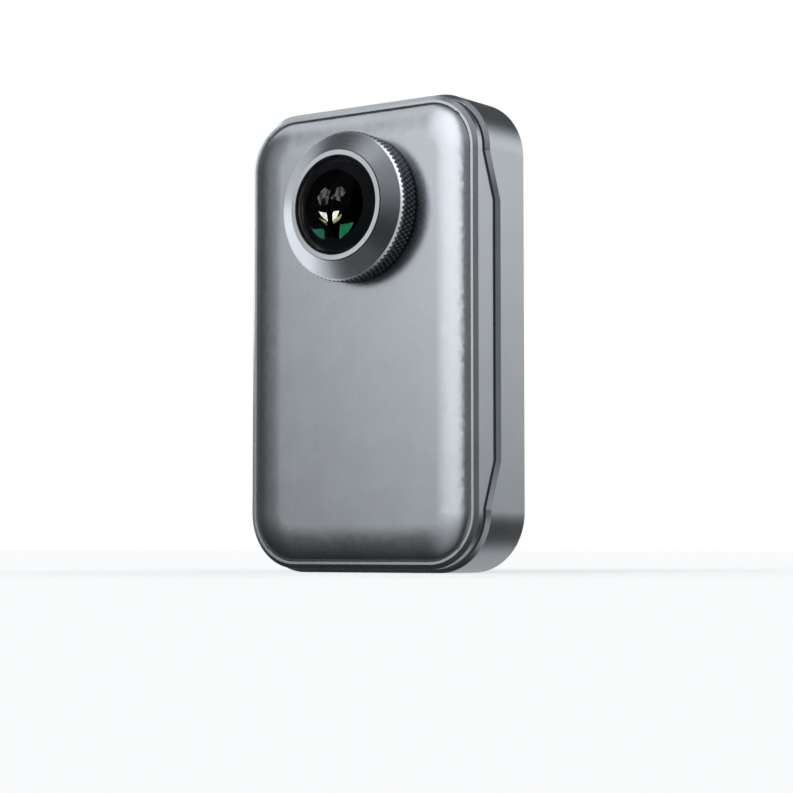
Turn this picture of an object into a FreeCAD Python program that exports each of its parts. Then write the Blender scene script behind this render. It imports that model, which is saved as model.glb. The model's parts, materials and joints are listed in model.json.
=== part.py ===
"""A pocket camera that sees the whole sphere, with one fisheye lens on the front and one on the back.

The front faces -Y, +X is on the viewer's right and +Z is up. The origin is on the
surface that the camera stands on, under the middle of its body. Lengths are in
millimetres. A distance called "out" is measured from the body's middle plane
towards the end that carries the piece, so the front and the rear share it.
"""

import FreeCAD
import Part
import math
import os

from FreeCAD import Vector

# Body
shell_height = 100.0
shell_width = 61.0
shell_corner = 12.7
edge_to_edge = 16.0
wall = 1.4
frame_step = 0.8

# Seam between the front frame and the rear shell, with a long tongue on each side
seam_end_depth = 1.55
seam_tongue_depth = 5.35
tongue_half_length = 27.0
tongue_ramp = 9.7
seam_gap = 1.0
facet_depth = 0.72
facet_overshoot = 0.5
spigot_clearance = 0.2
spigot_wall = 1.0
spigot_end_out = 1.3
gasket_wall = 0.5

# Rim round each end of the body, and the ledge that its panel lies on
rim_inset = 0.95
rim_rise = 0.63
rim_land = 0.56
ledge_depth = 1.43
ledge_width = 1.45
ledge_thickness = 1.0

# Crowned panels
panel_gap = 0.08
panel_edge = 0.67
crown_width = 7.8
crown_rise = 2.0
crown_fullness = 0.55
panel_skin = 1.37
panel_skirt = 1.7

# Middle plate and the posts that clamp it
plate_thickness = 1.2
plate_clearance = 0.2
post_from_corner = 9.2
frame_post_radius = 1.8
shell_post_radius = 2.3
case_screw_radius = 0.7
case_screw_head_radius = 1.3
case_screw_head_height = 0.8
case_screw_bite = 3.0
screw_clearance = 0.1

# Lens housings
lens_from_top = 23.2
housing_bore = 9.5
housing_barrel_radius = 11.6
housing_foot_radius = 14.9
housing_foot_thickness = 1.4
shoulder_radius = 13.6
shoulder_thickness = 1.2
panel_seal_thickness = 0.3
bearing_radius = 12.3
panel_hole_clearance = 0.2
housing_end_out = 16.08
cable_notch_near = 1.5
cable_notch_far = 7.5
cable_notch_height = 1.2

# Knurled lock rings
ring_radius = 15.4
ring_panel_gap = 0.35
ring_edge_out = 15.4
ring_lip_out = 17.3
ring_running_clearance = 0.06
ring_lip_clearance = 0.15
ring_end_clearance = 0.2
knurl_teeth = 92
knurl_rows = 7
knurl_depth = 0.45
knurl_chamfer = 0.8
knurl_cut = 0.05

# Bayonet between each lock ring and its housing
bayonet_count = 3
bayonet_lug_angle = 20.0
bayonet_travel = 40.0
bayonet_lug_height = 0.56
bayonet_lug_width = 1.0
bayonet_side_clearance = 0.2
bayonet_radial_clearance = 0.1
bayonet_angle_clearance = 1.0
bayonet_first_angle = 10.0

# Domed glass, the ring that holds it and the seal under it
retainer_radius = 11.6
retainer_bore = 10.57
retainer_front_out = 17.5
glass_bore = 11.0
thread_clearance = 0.03
glass_flange_radius = 10.9
glass_flange_thickness = 0.8
glass_dome_radius = 10.45
glass_rim_out = 16.98
glass_dome_rise = 3.4
glass_thickness = 1.7
glass_hollow_radius = 9.0
glass_seal_thickness = 0.5
glass_seal_inner = 10.0

# Optics inside each housing
glass_seat_out = 14.38
hood_radius = 9.4
hood_bore = 7.4
hood_out = 14.18
hood_thickness = 0.7
hood_dish = 0.6
barrel_radius = 8.8
barrel_bore = 7.3
barrel_back_out = 2.8
barrel_flange_out = 9.68
barrel_flange_thickness = 1.2
barrel_flange_clearance = 0.05
barrel_tail_radius = 6.2
barrel_tail_bore = 4.6
barrel_step_out = 7.28
second_lens_rise = 3.0
second_lens_thickness = 1.3
second_lens_rim = 1.0
rear_lens_thickness = 2.2
rear_lens_bulge = 0.7
lens_fit = 0.05
lens_stop_rib = 1.2
board_thickness = 0.8
sensor_board_size = 12.0
sensor_size = 8.0
sensor_thickness = 0.8
cable_width = 5.0
cable_thickness = 0.2
lens_screw_circle = 13.4
lens_screw_radius = 0.6
lens_screw_head_radius = 1.1
lens_screw_head_height = 0.9
front_screw_angle = 90.0
rear_screw_angle = 30.0

# Battery and main board
battery_width = 46.0
battery_bottom = 9.5
battery_lens_gap = 2.2
battery_thickness = 6.5
battery_corner = 2.0
main_board_left = 23.5
main_board_right = 24.0
main_board_bottom = 10.0
main_board_lens_gap = 2.3
main_board_thickness = 1.2
main_board_corner = 1.2
chip_size = 13.0
chip_thickness = 1.3
chip_x = 6.0
chip_height = 36.0
spreader_width = 30.0
spreader_height = 34.0
spreader_thickness = 0.8
spreader_panel_gap = 0.1
cable_slot_height = 1.4
cable_slot_gap = 0.4
cable_tail = 4.0

# Port bay in the left side
bay_y = 3.45
door_width = 5.0
door_bottom = 18.0
door_top = 50.0
door_thickness = 1.2
door_gap = 0.15
knuckle_radius = 1.1
knuckle_length = 3.0
knuckle_side_gap = 0.1
lug_radius = 1.0
lug_sweep_gap = 0.2
hinge_pin_radius = 0.45
hinge_running_clearance = 0.05
hinge_press_clearance = 0.02
door_nick_radius = 1.5
door_nick_depth = 0.4
seal_height = 0.6
seal_band = 0.6
seal_inset = 0.4
seal_hinge_gap = 2.2
seal_top_gap = 1.2
tray_gap = 0.05
tray_thickness = 1.4
tray_reach = 1.6
tray_side = 0.15
usb_length = 8.94
usb_height = 3.2
usb_depth = 7.4
usb_wall = 0.3
usb_tongue_length = 6.7
usb_tongue_thickness = 0.7
usb_centre = 28.3
card_length = 14.4
card_height = 1.5
card_depth = 15.0
card_slot_length = 11.6
card_slot_height = 0.8
card_slot_depth = 12.0
card_centre = 41.4
socket_clearance = 0.1

# Power button on the left side
power_height = 62.0
power_radius = 2.0
power_proud = 0.45
power_travel = 0.4
power_flange = 0.6
power_flange_thickness = 0.5
power_stem_radius = 0.9
power_stem_length = 1.9
power_switch_gap = 0.15
button_clearance = 0.08
flange_clearance = 0.05
switch_side = 3.2
switch_depth = 3.0
board_ear_margin = 0.8
board_ear_inside = 4.0
board_ear_overlap = 2.0

# Shutter button on the top
shutter_x = -12.0
top_row_y = 2.6
shutter_radius = 3.0
shutter_proud = 0.4
shutter_travel = 0.6
shutter_flange = 0.5
shutter_flange_thickness = 0.7
shutter_stem_radius = 1.0
spring_wire = 0.35
spring_wire_sides = 8
spring_turns = 3
spring_steps_per_turn = 16
spring_radius = 1.9
spring_length = 2.9
spring_end_gap = 0.05
shelf_thickness = 0.5
shelf_depth = 5.0
bracket_wall = 0.5
bracket_half_length = 18.5
bracket_depth = 2.6
switch_leg_width = 8.0
switch_leg_depth = 4.4
stem_clearance = 0.15
stem_below_shelf = 0.8
switch_height = 1.6
switch_gap = 0.15
switch_width = 4.4

# Status light and microphone on the top
light_x = 13.0
light_radius = 1.1
light_clearance = 0.05
microphone_x = 7.5
microphone_hole_radius = 0.5
microphone_width = 3.4
microphone_height = 1.0
boot_radius = 1.5
top_board_length = 13.0
top_board_width = 4.0
top_board_centre = 11.0

# Tripod bush in the underside
tripod_y = 1.4
tripod_bore = 2.6
tripod_thread_length = 6.5
tripod_bush_radius = 4.1
tripod_bush_length = 7.6
tripod_flange_radius = 4.7
tripod_flange_thickness = 1.0
tripod_clearance = 0.05
tripod_notch_clearance = 0.6

# Places that follow from the sizes above
half_edge = edge_to_edge / 2
half_width = shell_width / 2
middle = shell_height / 2
frame_width = shell_width - 2 * frame_step
frame_height = shell_height - 2 * frame_step
frame_corner = shell_corner - frame_step
inner_side = half_width - wall
inner_top = shell_height - wall
lens_height = shell_height - lens_from_top
housing_low = lens_height - housing_foot_radius
battery_top = housing_low - battery_lens_gap
main_board_top = housing_low - main_board_lens_gap
rim_out = half_edge + rim_rise
ledge_out = rim_out - ledge_depth
ledge_back_out = ledge_out - ledge_thickness
panel_out = ledge_out + panel_edge + crown_rise
panel_back_out = panel_out - panel_skin
panel_inset = rim_inset + rim_land + panel_gap
spigot_inset = wall - frame_step + spigot_clearance
seam_end = seam_end_depth - half_edge
seam_tongue = seam_tongue_depth - half_edge
half_plate = plate_thickness / 2
front = -1
rear = 1
far = 40.0

os.makedirs("parts", exist_ok=True)


def save(node, shape):
    """Writes one sub-part under its node's name."""
    shape.exportStep("parts/" + node + ".step")


def box(x0, x1, y0, y1, z0, z1):
    """A block between two corners."""
    return Part.makeBox(x1 - x0, y1 - y0, z1 - z0, Vector(x0, y0, z0))


def rod(radius, start, end):
    """A round bar between two points."""
    line = end - start
    return Part.makeCylinder(radius, line.Length, start, line)


def polygon_face(points):
    """A flat face inside a closed run of points."""
    return Part.Face(Part.makePolygon(points + [points[0]]))


def rounded_outline(width, height, corner, y):
    """The outline of an upright rounded rectangle in the plane at y, about the body's middle."""
    half_w = width / 2
    half_h = height / 2
    bend = corner * (1 - math.sqrt(0.5))
    edges = []
    for sx, sz in ((1, 1), (-1, 1), (-1, -1), (1, -1)):
        on_side = Vector(sx * half_w, y, middle + sz * (half_h - corner))
        on_bend = Vector(sx * (half_w - bend), y, middle + sz * (half_h - bend))
        on_end = Vector(sx * (half_w - corner), y, middle + sz * half_h)
        points = (on_side, on_bend, on_end)
        if sx * sz < 0:
            points = (on_end, on_bend, on_side)
        edges.append(Part.Arc(*points).toShape())
    corners = list(edges)
    for number, arc in enumerate(corners):
        following = corners[(number + 1) % 4]
        edges.append(Part.makeLine(arc.lastVertex().Point, following.firstVertex().Point))
    return Part.Wire(Part.__sortEdges__(edges))


def rounded_slab(width, height, corner, y0, y1):
    """An upright slab with rounded corners, between two planes."""
    outline = rounded_outline(width, height, corner, y0)
    return Part.Face(outline).extrude(Vector(0, y1 - y0, 0))


def mirrored(shape, normal):
    """A copy on the other side of the body's middle."""
    return shape.mirror(Vector(0, 0, middle), normal)


def carried_round(section, width, height, corner):
    """Carries a section, drawn on the right-hand side at mid height, all round the body."""
    run_up = height / 2 - corner
    run_in = width / 2 - corner
    side = section.extrude(Vector(0, 0, run_up))
    centre = Vector(run_in, 0, middle + run_up)
    raised = section.translated(Vector(0, 0, run_up))
    bend = raised.revolve(centre, Vector(0, -1, 0), 90)
    raised.rotate(centre, Vector(0, -1, 0), 90)
    end = raised.extrude(Vector(-run_in, 0, 0))
    quarter = side.fuse([bend, end])
    half = quarter.fuse(mirrored(quarter, Vector(1, 0, 0)))
    return half.fuse(mirrored(half, Vector(0, 0, 1))).removeSplitter()


def section_of(points, width):
    """A section face from insets and depths: each inset is measured in from the outline."""
    return polygon_face([Vector(width / 2 - inset, y, middle) for inset, y in points])


def turned(points):
    """A solid turned about a lens axis from radii and distances out."""
    face = polygon_face([Vector(radius, 0, out) for radius, out in points])
    return face.revolve(Vector(0, 0, 0), Vector(0, 0, 1), 360)


def tube(outer, inner, low, high):
    """A turned ring with flat ends."""
    return turned([(inner, low), (outer, low), (outer, high), (inner, high)])


def at_lens(shape, end):
    """Moves a piece that was turned about the Z axis onto the front or the rear lens axis."""
    placed = shape.copy()
    placed.rotate(Vector(0, 0, 0), Vector(1, 0, 0), 90)
    if end == rear:
        placed.rotate(Vector(0, 0, 0), Vector(0, 0, 1), 180)
    placed.translate(Vector(0, 0, lens_height))
    return placed


def round_about(count, start):
    """The angles of evenly spaced copies, in degrees."""
    return [start + number * 360.0 / count for number in range(count)]


def on_circle(radius, angle, out):
    """A point on a circle about the turning axis."""
    turn = math.radians(angle)
    return Vector(radius * math.cos(turn), radius * math.sin(turn), out)


def seam_polygon(x, offset):
    """What lies in front of the seam, as a polygon in the plane at x, moved back by an offset."""
    ramp_end = tongue_half_length + tongue_ramp
    line = [
        (seam_end + offset, -far - middle),
        (seam_end + offset, -ramp_end),
        (seam_tongue + offset, -tongue_half_length),
        (seam_tongue + offset, tongue_half_length),
        (seam_end + offset, ramp_end),
        (seam_end + offset, far + middle),
    ]
    corners = [(-far, -far - middle)] + line + [(-far, far + middle)]
    return [Vector(x, y, middle + height) for y, height in corners]


def in_front_of_seam(offset):
    """Everything in front of the seam."""
    return polygon_face(seam_polygon(-far, offset)).extrude(Vector(2 * far, 0, 0))


def rim_points(front_y, side):
    """The rim, the panel's ledge and the wall behind it, from the outside in."""
    land_end = rim_inset + rim_land
    ledge_end = land_end + ledge_width
    return [
        (0, side * half_edge),
        (rim_inset, side * rim_out),
        (land_end, side * rim_out),
        (land_end, side * ledge_out),
        (ledge_end, side * ledge_out),
        (ledge_end, side * ledge_back_out),
        (front_y, side * ledge_back_out),
    ]


def post_places():
    """The four corner posts, as x and z."""
    reach = post_from_corner * math.sqrt(0.5)
    across = half_width - shell_corner + reach
    up = middle - shell_corner + reach
    return [(sx * across, middle + sz * up) for sx in (-1, 1) for sz in (-1, 1)]


def crowned_panel(width, height, corner, end):
    """A panel that is flat in the middle and rolls over to its edge, with its lens hole."""
    panel_width = width - 2 * panel_inset
    panel_height = height - 2 * panel_inset
    panel_corner = corner - panel_inset
    side = panel_width / 2
    shoulder = end * (ledge_out + panel_edge)
    top = end * panel_out
    foot = end * ledge_out
    crown = Part.BezierCurve()
    crown.setPoles([
        Vector(side, shoulder, middle),
        Vector(side, shoulder + end * crown_fullness * crown_rise, middle),
        Vector(side - (1 - crown_fullness) * crown_width, top, middle),
        Vector(side - crown_width, top, middle),
    ])
    corners = [
        Vector(side - crown_width, top, middle),
        Vector(side - crown_width, foot, middle),
        Vector(side, foot, middle),
        Vector(side, shoulder, middle),
    ]
    straight = [Part.makeLine(a, b) for a, b in zip(corners[:-1], corners[1:])]
    section = Part.Face(Part.Wire([crown.toShape()] + straight))
    edge = carried_round(section, panel_width, panel_height, panel_corner)
    core_width = panel_width - 2 * crown_width
    core_height = panel_height - 2 * crown_width
    core = rounded_slab(core_width, core_height, panel_corner - crown_width, foot, top)
    panel = edge.fuse(core).removeSplitter()
    pocket = rounded_slab(
        panel_width - 2 * panel_skirt,
        panel_height - 2 * panel_skirt,
        panel_corner - panel_skirt,
        foot - end,
        end * panel_back_out,
    )
    hole = at_lens(tube(bearing_radius + panel_hole_clearance, 0, 0, far), end)
    return panel.cut(pocket).cut(hole)


def front_frame():
    """The frame that carries the front panel, with its tongues and the spigot that enters the shell."""
    inner = spigot_inset + spigot_wall
    outside = [(0, seam_tongue)] + rim_points(inner, front) + [(inner, seam_tongue)]
    ring = carried_round(section_of(outside, frame_width), frame_width, frame_height, frame_corner)
    ring = ring.common(in_front_of_seam(0))
    spigot = section_of([
        (spigot_inset, -ledge_back_out),
        (inner, -ledge_back_out),
        (inner, -spigot_end_out),
        (spigot_inset, -spigot_end_out),
    ], frame_width)
    frame = ring.fuse(carried_round(spigot, frame_width, frame_height, frame_corner))
    for x, z in post_places():
        frame = frame.fuse(rod(frame_post_radius, Vector(x, -ledge_out, z), Vector(x, -half_plate, z)))
    for x, z in post_places():
        head = case_screw_head_radius + screw_clearance
        frame = frame.cut(rod(head, Vector(x, -far, z), Vector(x, case_screw_head_height - ledge_out, z)))
        shank = case_screw_radius + screw_clearance
        frame = frame.cut(rod(shank, Vector(x, -far, z), Vector(x, 0, z)))
    notch = tripod_flange_radius + tripod_notch_clearance
    place = Vector(0, tripod_y, -far)
    frame = frame.cut(rod(notch, place, Vector(0, tripod_y, tripod_bush_length)))
    return frame.removeSplitter()


def tongue_relief(sign):
    """What the rear shell gives up on one long side, with the slanted facet along its edge."""
    step_x = half_width - frame_step
    slant = facet_depth * (frame_step + facet_overshoot) / frame_step
    inner = seam_polygon(step_x, seam_gap)
    outer = seam_polygon(half_width + facet_overshoot, seam_gap + slant)
    outlines = [Part.makePolygon(points + [points[0]]) for points in (inner, outer)]
    facet = Part.makeLoft(outlines, True, True)
    deep = polygon_face(inner).extrude(Vector(-2 * wall, 0, 0))
    relief = facet.fuse(deep)
    if sign < 0:
        relief = mirrored(relief, Vector(1, 0, 0))
    return relief


def rear_shell():
    """The main housing, open at the front and at the back."""
    start = seam_end + seam_gap
    points = [(frame_step, start), (0, start + facet_depth)] + rim_points(wall, rear) + [(wall, start)]
    shell = carried_round(section_of(points, shell_width), shell_width, shell_height, shell_corner)
    shell = shell.cut(tongue_relief(1)).cut(tongue_relief(-1))
    for x, z in post_places():
        shell = shell.fuse(rod(shell_post_radius, Vector(x, half_plate, z), Vector(x, ledge_out, z)))
    for x, z in post_places():
        bite = Vector(x, half_plate + case_screw_bite, z)
        shell = shell.cut(rod(case_screw_radius, Vector(x, 0, z), bite))
    top_row = (
        (shutter_x, shutter_radius + button_clearance),
        (light_x, light_radius + light_clearance),
        (microphone_x, microphone_hole_radius),
    )
    for x, radius in top_row:
        inside = Vector(x, top_row_y, middle)
        shell = shell.cut(rod(radius, inside, Vector(x, top_row_y, far + inner_top)))
    power_hole = power_radius + button_clearance
    inside = Vector(0, bay_y, power_height)
    shell = shell.cut(rod(power_hole, inside, Vector(-far, bay_y, power_height)))
    bush = tripod_bush_radius + tripod_clearance
    shell = shell.cut(rod(bush, Vector(0, tripod_y, -far), Vector(0, tripod_y, middle)))
    half_door = door_width / 2 + door_gap
    window = box(
        -far,
        0,
        bay_y - half_door,
        bay_y + half_door,
        door_bottom - door_gap,
        door_top + door_gap,
    )
    return shell.cut(window).removeSplitter()


def body_gasket():
    """The rubber band that shows as a dark line along the seam."""
    points = [
        (spigot_inset - gasket_wall, seam_end),
        (spigot_inset, seam_end),
        (spigot_inset, seam_tongue + seam_gap),
        (spigot_inset - gasket_wall, seam_tongue + seam_gap),
    ]
    band = carried_round(section_of(points, frame_width), frame_width, frame_height, frame_corner)
    return band.common(in_front_of_seam(seam_gap)).cut(in_front_of_seam(0))


def middle_plate():
    """The plate that both lens housings, the battery and the boards are fixed to."""
    inset = wall + plate_clearance
    plate = rounded_slab(
        shell_width - 2 * inset,
        shell_height - 2 * inset,
        shell_corner - inset,
        -half_plate,
        half_plate,
    )
    for x, z in post_places():
        hole = case_screw_radius + screw_clearance
        plate = plate.cut(rod(hole, Vector(x, -far, z), Vector(x, far, z)))
    reach = shutter_radius + shutter_flange + button_clearance
    shelf_top = shelf_level()
    plate = plate.cut(box(shutter_x - reach, shutter_x + reach, -far, far, shelf_top, far + shell_height))
    notch = tripod_flange_radius + tripod_notch_clearance
    plate = plate.cut(box(-notch, notch, -far, far, -far, tripod_bush_length + tripod_notch_clearance))
    slot_low = main_board_top + cable_slot_gap
    left = -cable_notch_far
    right = -cable_notch_near
    plate = plate.cut(box(left, right, -far, far, slot_low, slot_low + cable_slot_height))
    for end, start in ((front, front_screw_angle), (rear, rear_screw_angle)):
        for angle in round_about(3, start):
            low = on_circle(lens_screw_circle, angle, -far)
            high = on_circle(lens_screw_circle, angle, far)
            plate = plate.cut(at_lens(rod(lens_screw_radius, low, high), end))
    return plate


def case_screws():
    """Four screws from the frame, through the plate and into the shell's posts."""
    screws = []
    for x, z in post_places():
        top = Vector(x, -ledge_out, z)
        under_head = Vector(x, case_screw_head_height - ledge_out, z)
        tip = Vector(x, half_plate + case_screw_bite, z)
        head = rod(case_screw_head_radius, top, under_head)
        screws.append(head.fuse(rod(case_screw_radius, under_head, tip)).removeSplitter())
    return Part.makeCompound(screws)


def sector(inner, outer, low, high, start, sweep):
    """A piece of a flat ring between two angles."""
    face = polygon_face([
        Vector(inner, 0, low),
        Vector(outer, 0, low),
        Vector(outer, 0, high),
        Vector(inner, 0, high),
    ])
    piece = face.revolve(Vector(0, 0, 0), Vector(0, 0, 1), sweep)
    piece.rotate(Vector(0, 0, 0), Vector(0, 0, 1), start)
    return piece


def bayonet_levels():
    """The low and high side of a lock ring's lugs."""
    low = panel_out + ring_panel_gap + bayonet_lug_width
    return low, low + bayonet_lug_width


def lens_housing(end, screw_angle):
    """The fixed cup that holds one lens, with the track for its lock ring's lugs."""
    shoulder_high = panel_back_out - panel_seal_thickness
    shoulder_low = shoulder_high - shoulder_thickness
    foot_high = half_plate + housing_foot_thickness
    cup = turned([
        (housing_bore, half_plate),
        (housing_foot_radius, half_plate),
        (housing_foot_radius, foot_high),
        (housing_barrel_radius, foot_high),
        (housing_barrel_radius, shoulder_low),
        (shoulder_radius, shoulder_low),
        (shoulder_radius, shoulder_high),
        (bearing_radius, shoulder_high),
        (bearing_radius, housing_end_out),
        (glass_bore, housing_end_out),
        (glass_bore, glass_seat_out),
        (housing_bore, glass_seat_out),
    ])
    lug_low, lug_high = bayonet_levels()
    depth = bearing_radius + ring_running_clearance - bayonet_lug_height - bayonet_radial_clearance
    outside = bearing_radius + 1
    margin = bayonet_angle_clearance
    for angle in round_about(bayonet_count, bayonet_first_angle):
        track = bayonet_lug_angle + bayonet_travel + 2 * margin
        low = lug_low - bayonet_side_clearance
        high = lug_high + bayonet_side_clearance
        cup = cup.cut(sector(depth, outside, low, high, angle - margin, track))
        entry_start = angle + bayonet_travel - margin
        entry = bayonet_lug_angle + 2 * margin
        cup = cup.cut(sector(depth, outside, low, housing_end_out + 1, entry_start, entry))
    notch = box(-cable_notch_far, -cable_notch_near, -far, 0, 0, half_plate + cable_notch_height)
    cup = cup.cut(notch)
    for angle in round_about(3, screw_angle):
        low = on_circle(lens_screw_circle, angle, 0)
        high = on_circle(lens_screw_circle, angle, foot_high + 1)
        cup = cup.cut(rod(lens_screw_radius + screw_clearance, low, high))
    return at_lens(cup, end)


def knurl_levels(low, high):
    """The circles of points that the knurl is built on, from its low end to its high end."""
    root = ring_radius - knurl_depth
    turns = round_about(2 * knurl_teeth, 0)
    row_height = (high - low - 2 * knurl_chamfer) / knurl_rows
    levels = [[on_circle(root - knurl_cut, turn, low) for turn in turns]]
    for row in range(knurl_rows + 1):
        out = low + knurl_chamfer + row * row_height
        level = []
        for side, turn in enumerate(turns):
            peak = (side + row) % 2 == 0
            level.append(on_circle(ring_radius if peak else root, turn, out))
        levels.append(level)
    levels.append([on_circle(root - knurl_cut, turn, high) for turn in turns])
    return levels


def knurled_bar(low, high):
    """A bar covered with small pyramids, with a bevel at each end."""
    levels = knurl_levels(low, high)
    faces = [polygon_face(levels[0]), polygon_face(levels[-1])]
    for number, (below, above) in enumerate(zip(levels[:-1], levels[1:])):
        on_end = number in (0, knurl_rows + 1)
        for side in range(2 * knurl_teeth):
            a, b, c, d = below[side - 1], below[side], above[side], above[side - 1]
            # A cell folds from valley to valley, and on the bevels from the peak
            fold_on_ac = (side + number) % 2 == (0 if on_end else 1)
            triangles = ([a, b, c], [a, c, d]) if fold_on_ac else ([a, b, d], [b, c, d])
            faces += [polygon_face(corners) for corners in triangles]
    shell = Part.makeShell(faces)
    shell.sewShape()
    return Part.Solid(shell)


def lock_ring():
    """The knurled ring that turns on its housing, with its cone face and its lugs, about the Z axis."""
    low = panel_out + ring_panel_gap
    bore = bearing_radius + ring_running_clearance
    lip = retainer_radius + ring_lip_clearance
    root = ring_radius - knurl_depth
    step = housing_end_out + ring_end_clearance
    sleeve = knurled_bar(low, ring_edge_out).cut(tube(root - knurl_depth, 0, 0, far))
    core = turned([
        (bore, low),
        (root - knurl_depth, low),
        (root - knurl_depth, ring_edge_out),
        (root - knurl_cut, ring_edge_out),
        (lip, ring_lip_out),
        (lip, step),
        (bore, step),
    ])
    ring = core.fuse(sleeve)
    lug_low, lug_high = bayonet_levels()
    for angle in round_about(bayonet_count, bayonet_first_angle):
        lug = sector(bore - bayonet_lug_height, bore + 0.5, lug_low, lug_high, angle, bayonet_lug_angle)
        ring = ring.fuse(lug)
    return ring


def glass_retainer(end):
    """The light ring that screws into the housing and holds the glass down."""
    low = glass_seat_out + glass_seal_thickness + glass_flange_thickness
    return at_lens(turned([
        (retainer_bore, low),
        (glass_bore - thread_clearance, low),
        (glass_bore - thread_clearance, housing_end_out),
        (retainer_radius, housing_end_out),
        (retainer_radius, retainer_front_out),
        (retainer_bore, retainer_front_out),
    ]), end)


def cap(radius, out, rise):
    """A ball that meets a circle at one level and rises above it by a given height."""
    ball = (radius * radius + rise * rise) / (2 * rise)
    return Part.makeSphere(ball, Vector(0, 0, out + rise - ball))


def domed_glass(end):
    """The outer lens: a deep dome with a hollow back and a flange."""
    low = glass_seat_out + glass_seal_thickness
    body = tube(glass_dome_radius, 0, low, glass_rim_out + glass_dome_rise)
    body = body.common(cap(glass_dome_radius, glass_rim_out, glass_dome_rise))
    flange = tube(glass_flange_radius, 0, low, low + glass_flange_thickness)
    hollow_rise = glass_rim_out + glass_dome_rise - glass_thickness - low
    hollow = cap(glass_hollow_radius, low, hollow_rise)
    return at_lens(body.fuse(flange).cut(hollow).removeSplitter(), end)


def lens_hood(end):
    """The black ring that is seen through the glass, round the second lens."""
    return at_lens(turned([
        (hood_bore, hood_out - hood_dish - hood_thickness),
        (hood_radius, hood_out - hood_thickness),
        (hood_radius, hood_out),
        (hood_bore, hood_out - hood_dish),
    ]), end)


def lens_barrel(end):
    """The black tube that holds the inner lenses and is screwed into the housing."""
    top = hood_out - hood_dish - hood_thickness
    flange_high = barrel_flange_out + barrel_flange_thickness
    flange = housing_bore - barrel_flange_clearance
    return at_lens(turned([
        (barrel_tail_bore, barrel_back_out),
        (barrel_tail_radius, barrel_back_out),
        (barrel_tail_radius, barrel_step_out - barrel_flange_thickness),
        (barrel_radius, barrel_step_out - barrel_flange_thickness),
        (barrel_radius, barrel_flange_out),
        (flange, barrel_flange_out),
        (flange, flange_high),
        (barrel_radius, flange_high),
        (barrel_radius, top),
        (barrel_bore, top),
        (barrel_bore, barrel_step_out),
        (barrel_tail_bore, barrel_step_out),
    ]), end)


def inner_lenses(end):
    """The second lens under the dome, and the thicker lens behind it."""
    seat = hood_out - hood_dish - hood_thickness - second_lens_rise + second_lens_rim
    radius = barrel_bore - lens_fit
    second = tube(radius, 0, seat - second_lens_rim, seat + second_lens_rise)
    second = second.common(cap(radius, seat, second_lens_rise))
    hollow_radius = radius - lens_stop_rib
    hollow_rise = second_lens_rise + second_lens_rim - second_lens_thickness
    second = second.cut(cap(hollow_radius, seat - second_lens_rim, hollow_rise))
    small = barrel_tail_bore - lens_fit
    low = barrel_step_out - rear_lens_thickness - rear_lens_bulge
    back = tube(small, 0, low, low + rear_lens_thickness + rear_lens_bulge)
    back = back.common(cap(small, low + rear_lens_thickness, rear_lens_bulge))
    return Part.makeCompound([at_lens(second, end), at_lens(back, end)])


def sensor_board(end):
    """The image sensor on its small board, against the middle plate."""
    half = sensor_board_size / 2
    level = half_plate + board_thickness
    board = box(-half, half, -half, half, half_plate, level)
    half_chip = sensor_size / 2
    chip = box(-half_chip, half_chip, -half_chip, half_chip, level, level + sensor_thickness)
    return at_lens(board.fuse(chip), end)


def cable_span():
    """The two edges of a ribbon cable, beside the lens axis."""
    centre = (cable_notch_near + cable_notch_far) / 2
    return -centre - cable_width / 2, -centre + cable_width / 2


def front_cable():
    """The front sensor's ribbon, down the plate, through its slot and onto the main board."""
    left, right = cable_span()
    top = lens_height - sensor_board_size / 2
    board_face = half_plate + main_board_thickness
    turn_low = main_board_top + cable_slot_gap + cable_slot_height / 2
    turn_high = turn_low + cable_thickness
    low = main_board_top - cable_tail
    down = box(left, right, -half_plate - cable_thickness, -half_plate, turn_low, top)
    through = box(left, right, -half_plate, board_face, turn_low, turn_high)
    tail = box(left, right, board_face, board_face + cable_thickness, low, turn_high)
    return down.fuse([through, tail]).removeSplitter()


def rear_cable():
    """The rear sensor's ribbon, down the plate and onto the main board."""
    left, right = cable_span()
    top = lens_height - sensor_board_size / 2
    board_face = half_plate + main_board_thickness
    turn_low = main_board_top + cable_slot_gap
    turn_high = turn_low + cable_thickness
    low = main_board_top - cable_tail
    down = box(-right, -left, half_plate, half_plate + cable_thickness, turn_low, top)
    across = box(-right, -left, half_plate, board_face, turn_low, turn_high)
    tail = box(-right, -left, board_face, board_face + cable_thickness, low, turn_high)
    return down.fuse([across, tail]).removeSplitter()


def lens_screws(end, screw_angle):
    """Three screws that hold a lens housing to the plate."""
    foot_high = half_plate + housing_foot_thickness
    screws = []
    for angle in round_about(3, screw_angle):
        tip = on_circle(lens_screw_circle, angle, -half_plate)
        under_head = on_circle(lens_screw_circle, angle, foot_high)
        top = on_circle(lens_screw_circle, angle, foot_high + lens_screw_head_height)
        screw = rod(lens_screw_radius, tip, under_head).fuse(rod(lens_screw_head_radius, under_head, top))
        screws.append(at_lens(screw.removeSplitter(), end))
    return Part.makeCompound(screws)


def battery():
    """The flat cell in front of the plate."""
    half = battery_width / 2
    block = box(-half, half, -half_plate - battery_thickness, -half_plate, battery_bottom, battery_top)
    upright = [edge for edge in block.Edges if abs(edge.tangentAt(edge.FirstParameter).x) < 0.5
               and abs(edge.tangentAt(edge.FirstParameter).y) < 0.5]
    return block.makeFillet(battery_corner, upright)


def power_switch_face():
    """Where the power switch begins, just past the end of the button's stem."""
    stem_end = flange_clearance - inner_side + power_flange_thickness + power_stem_length
    return stem_end + power_travel + power_switch_gap


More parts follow.
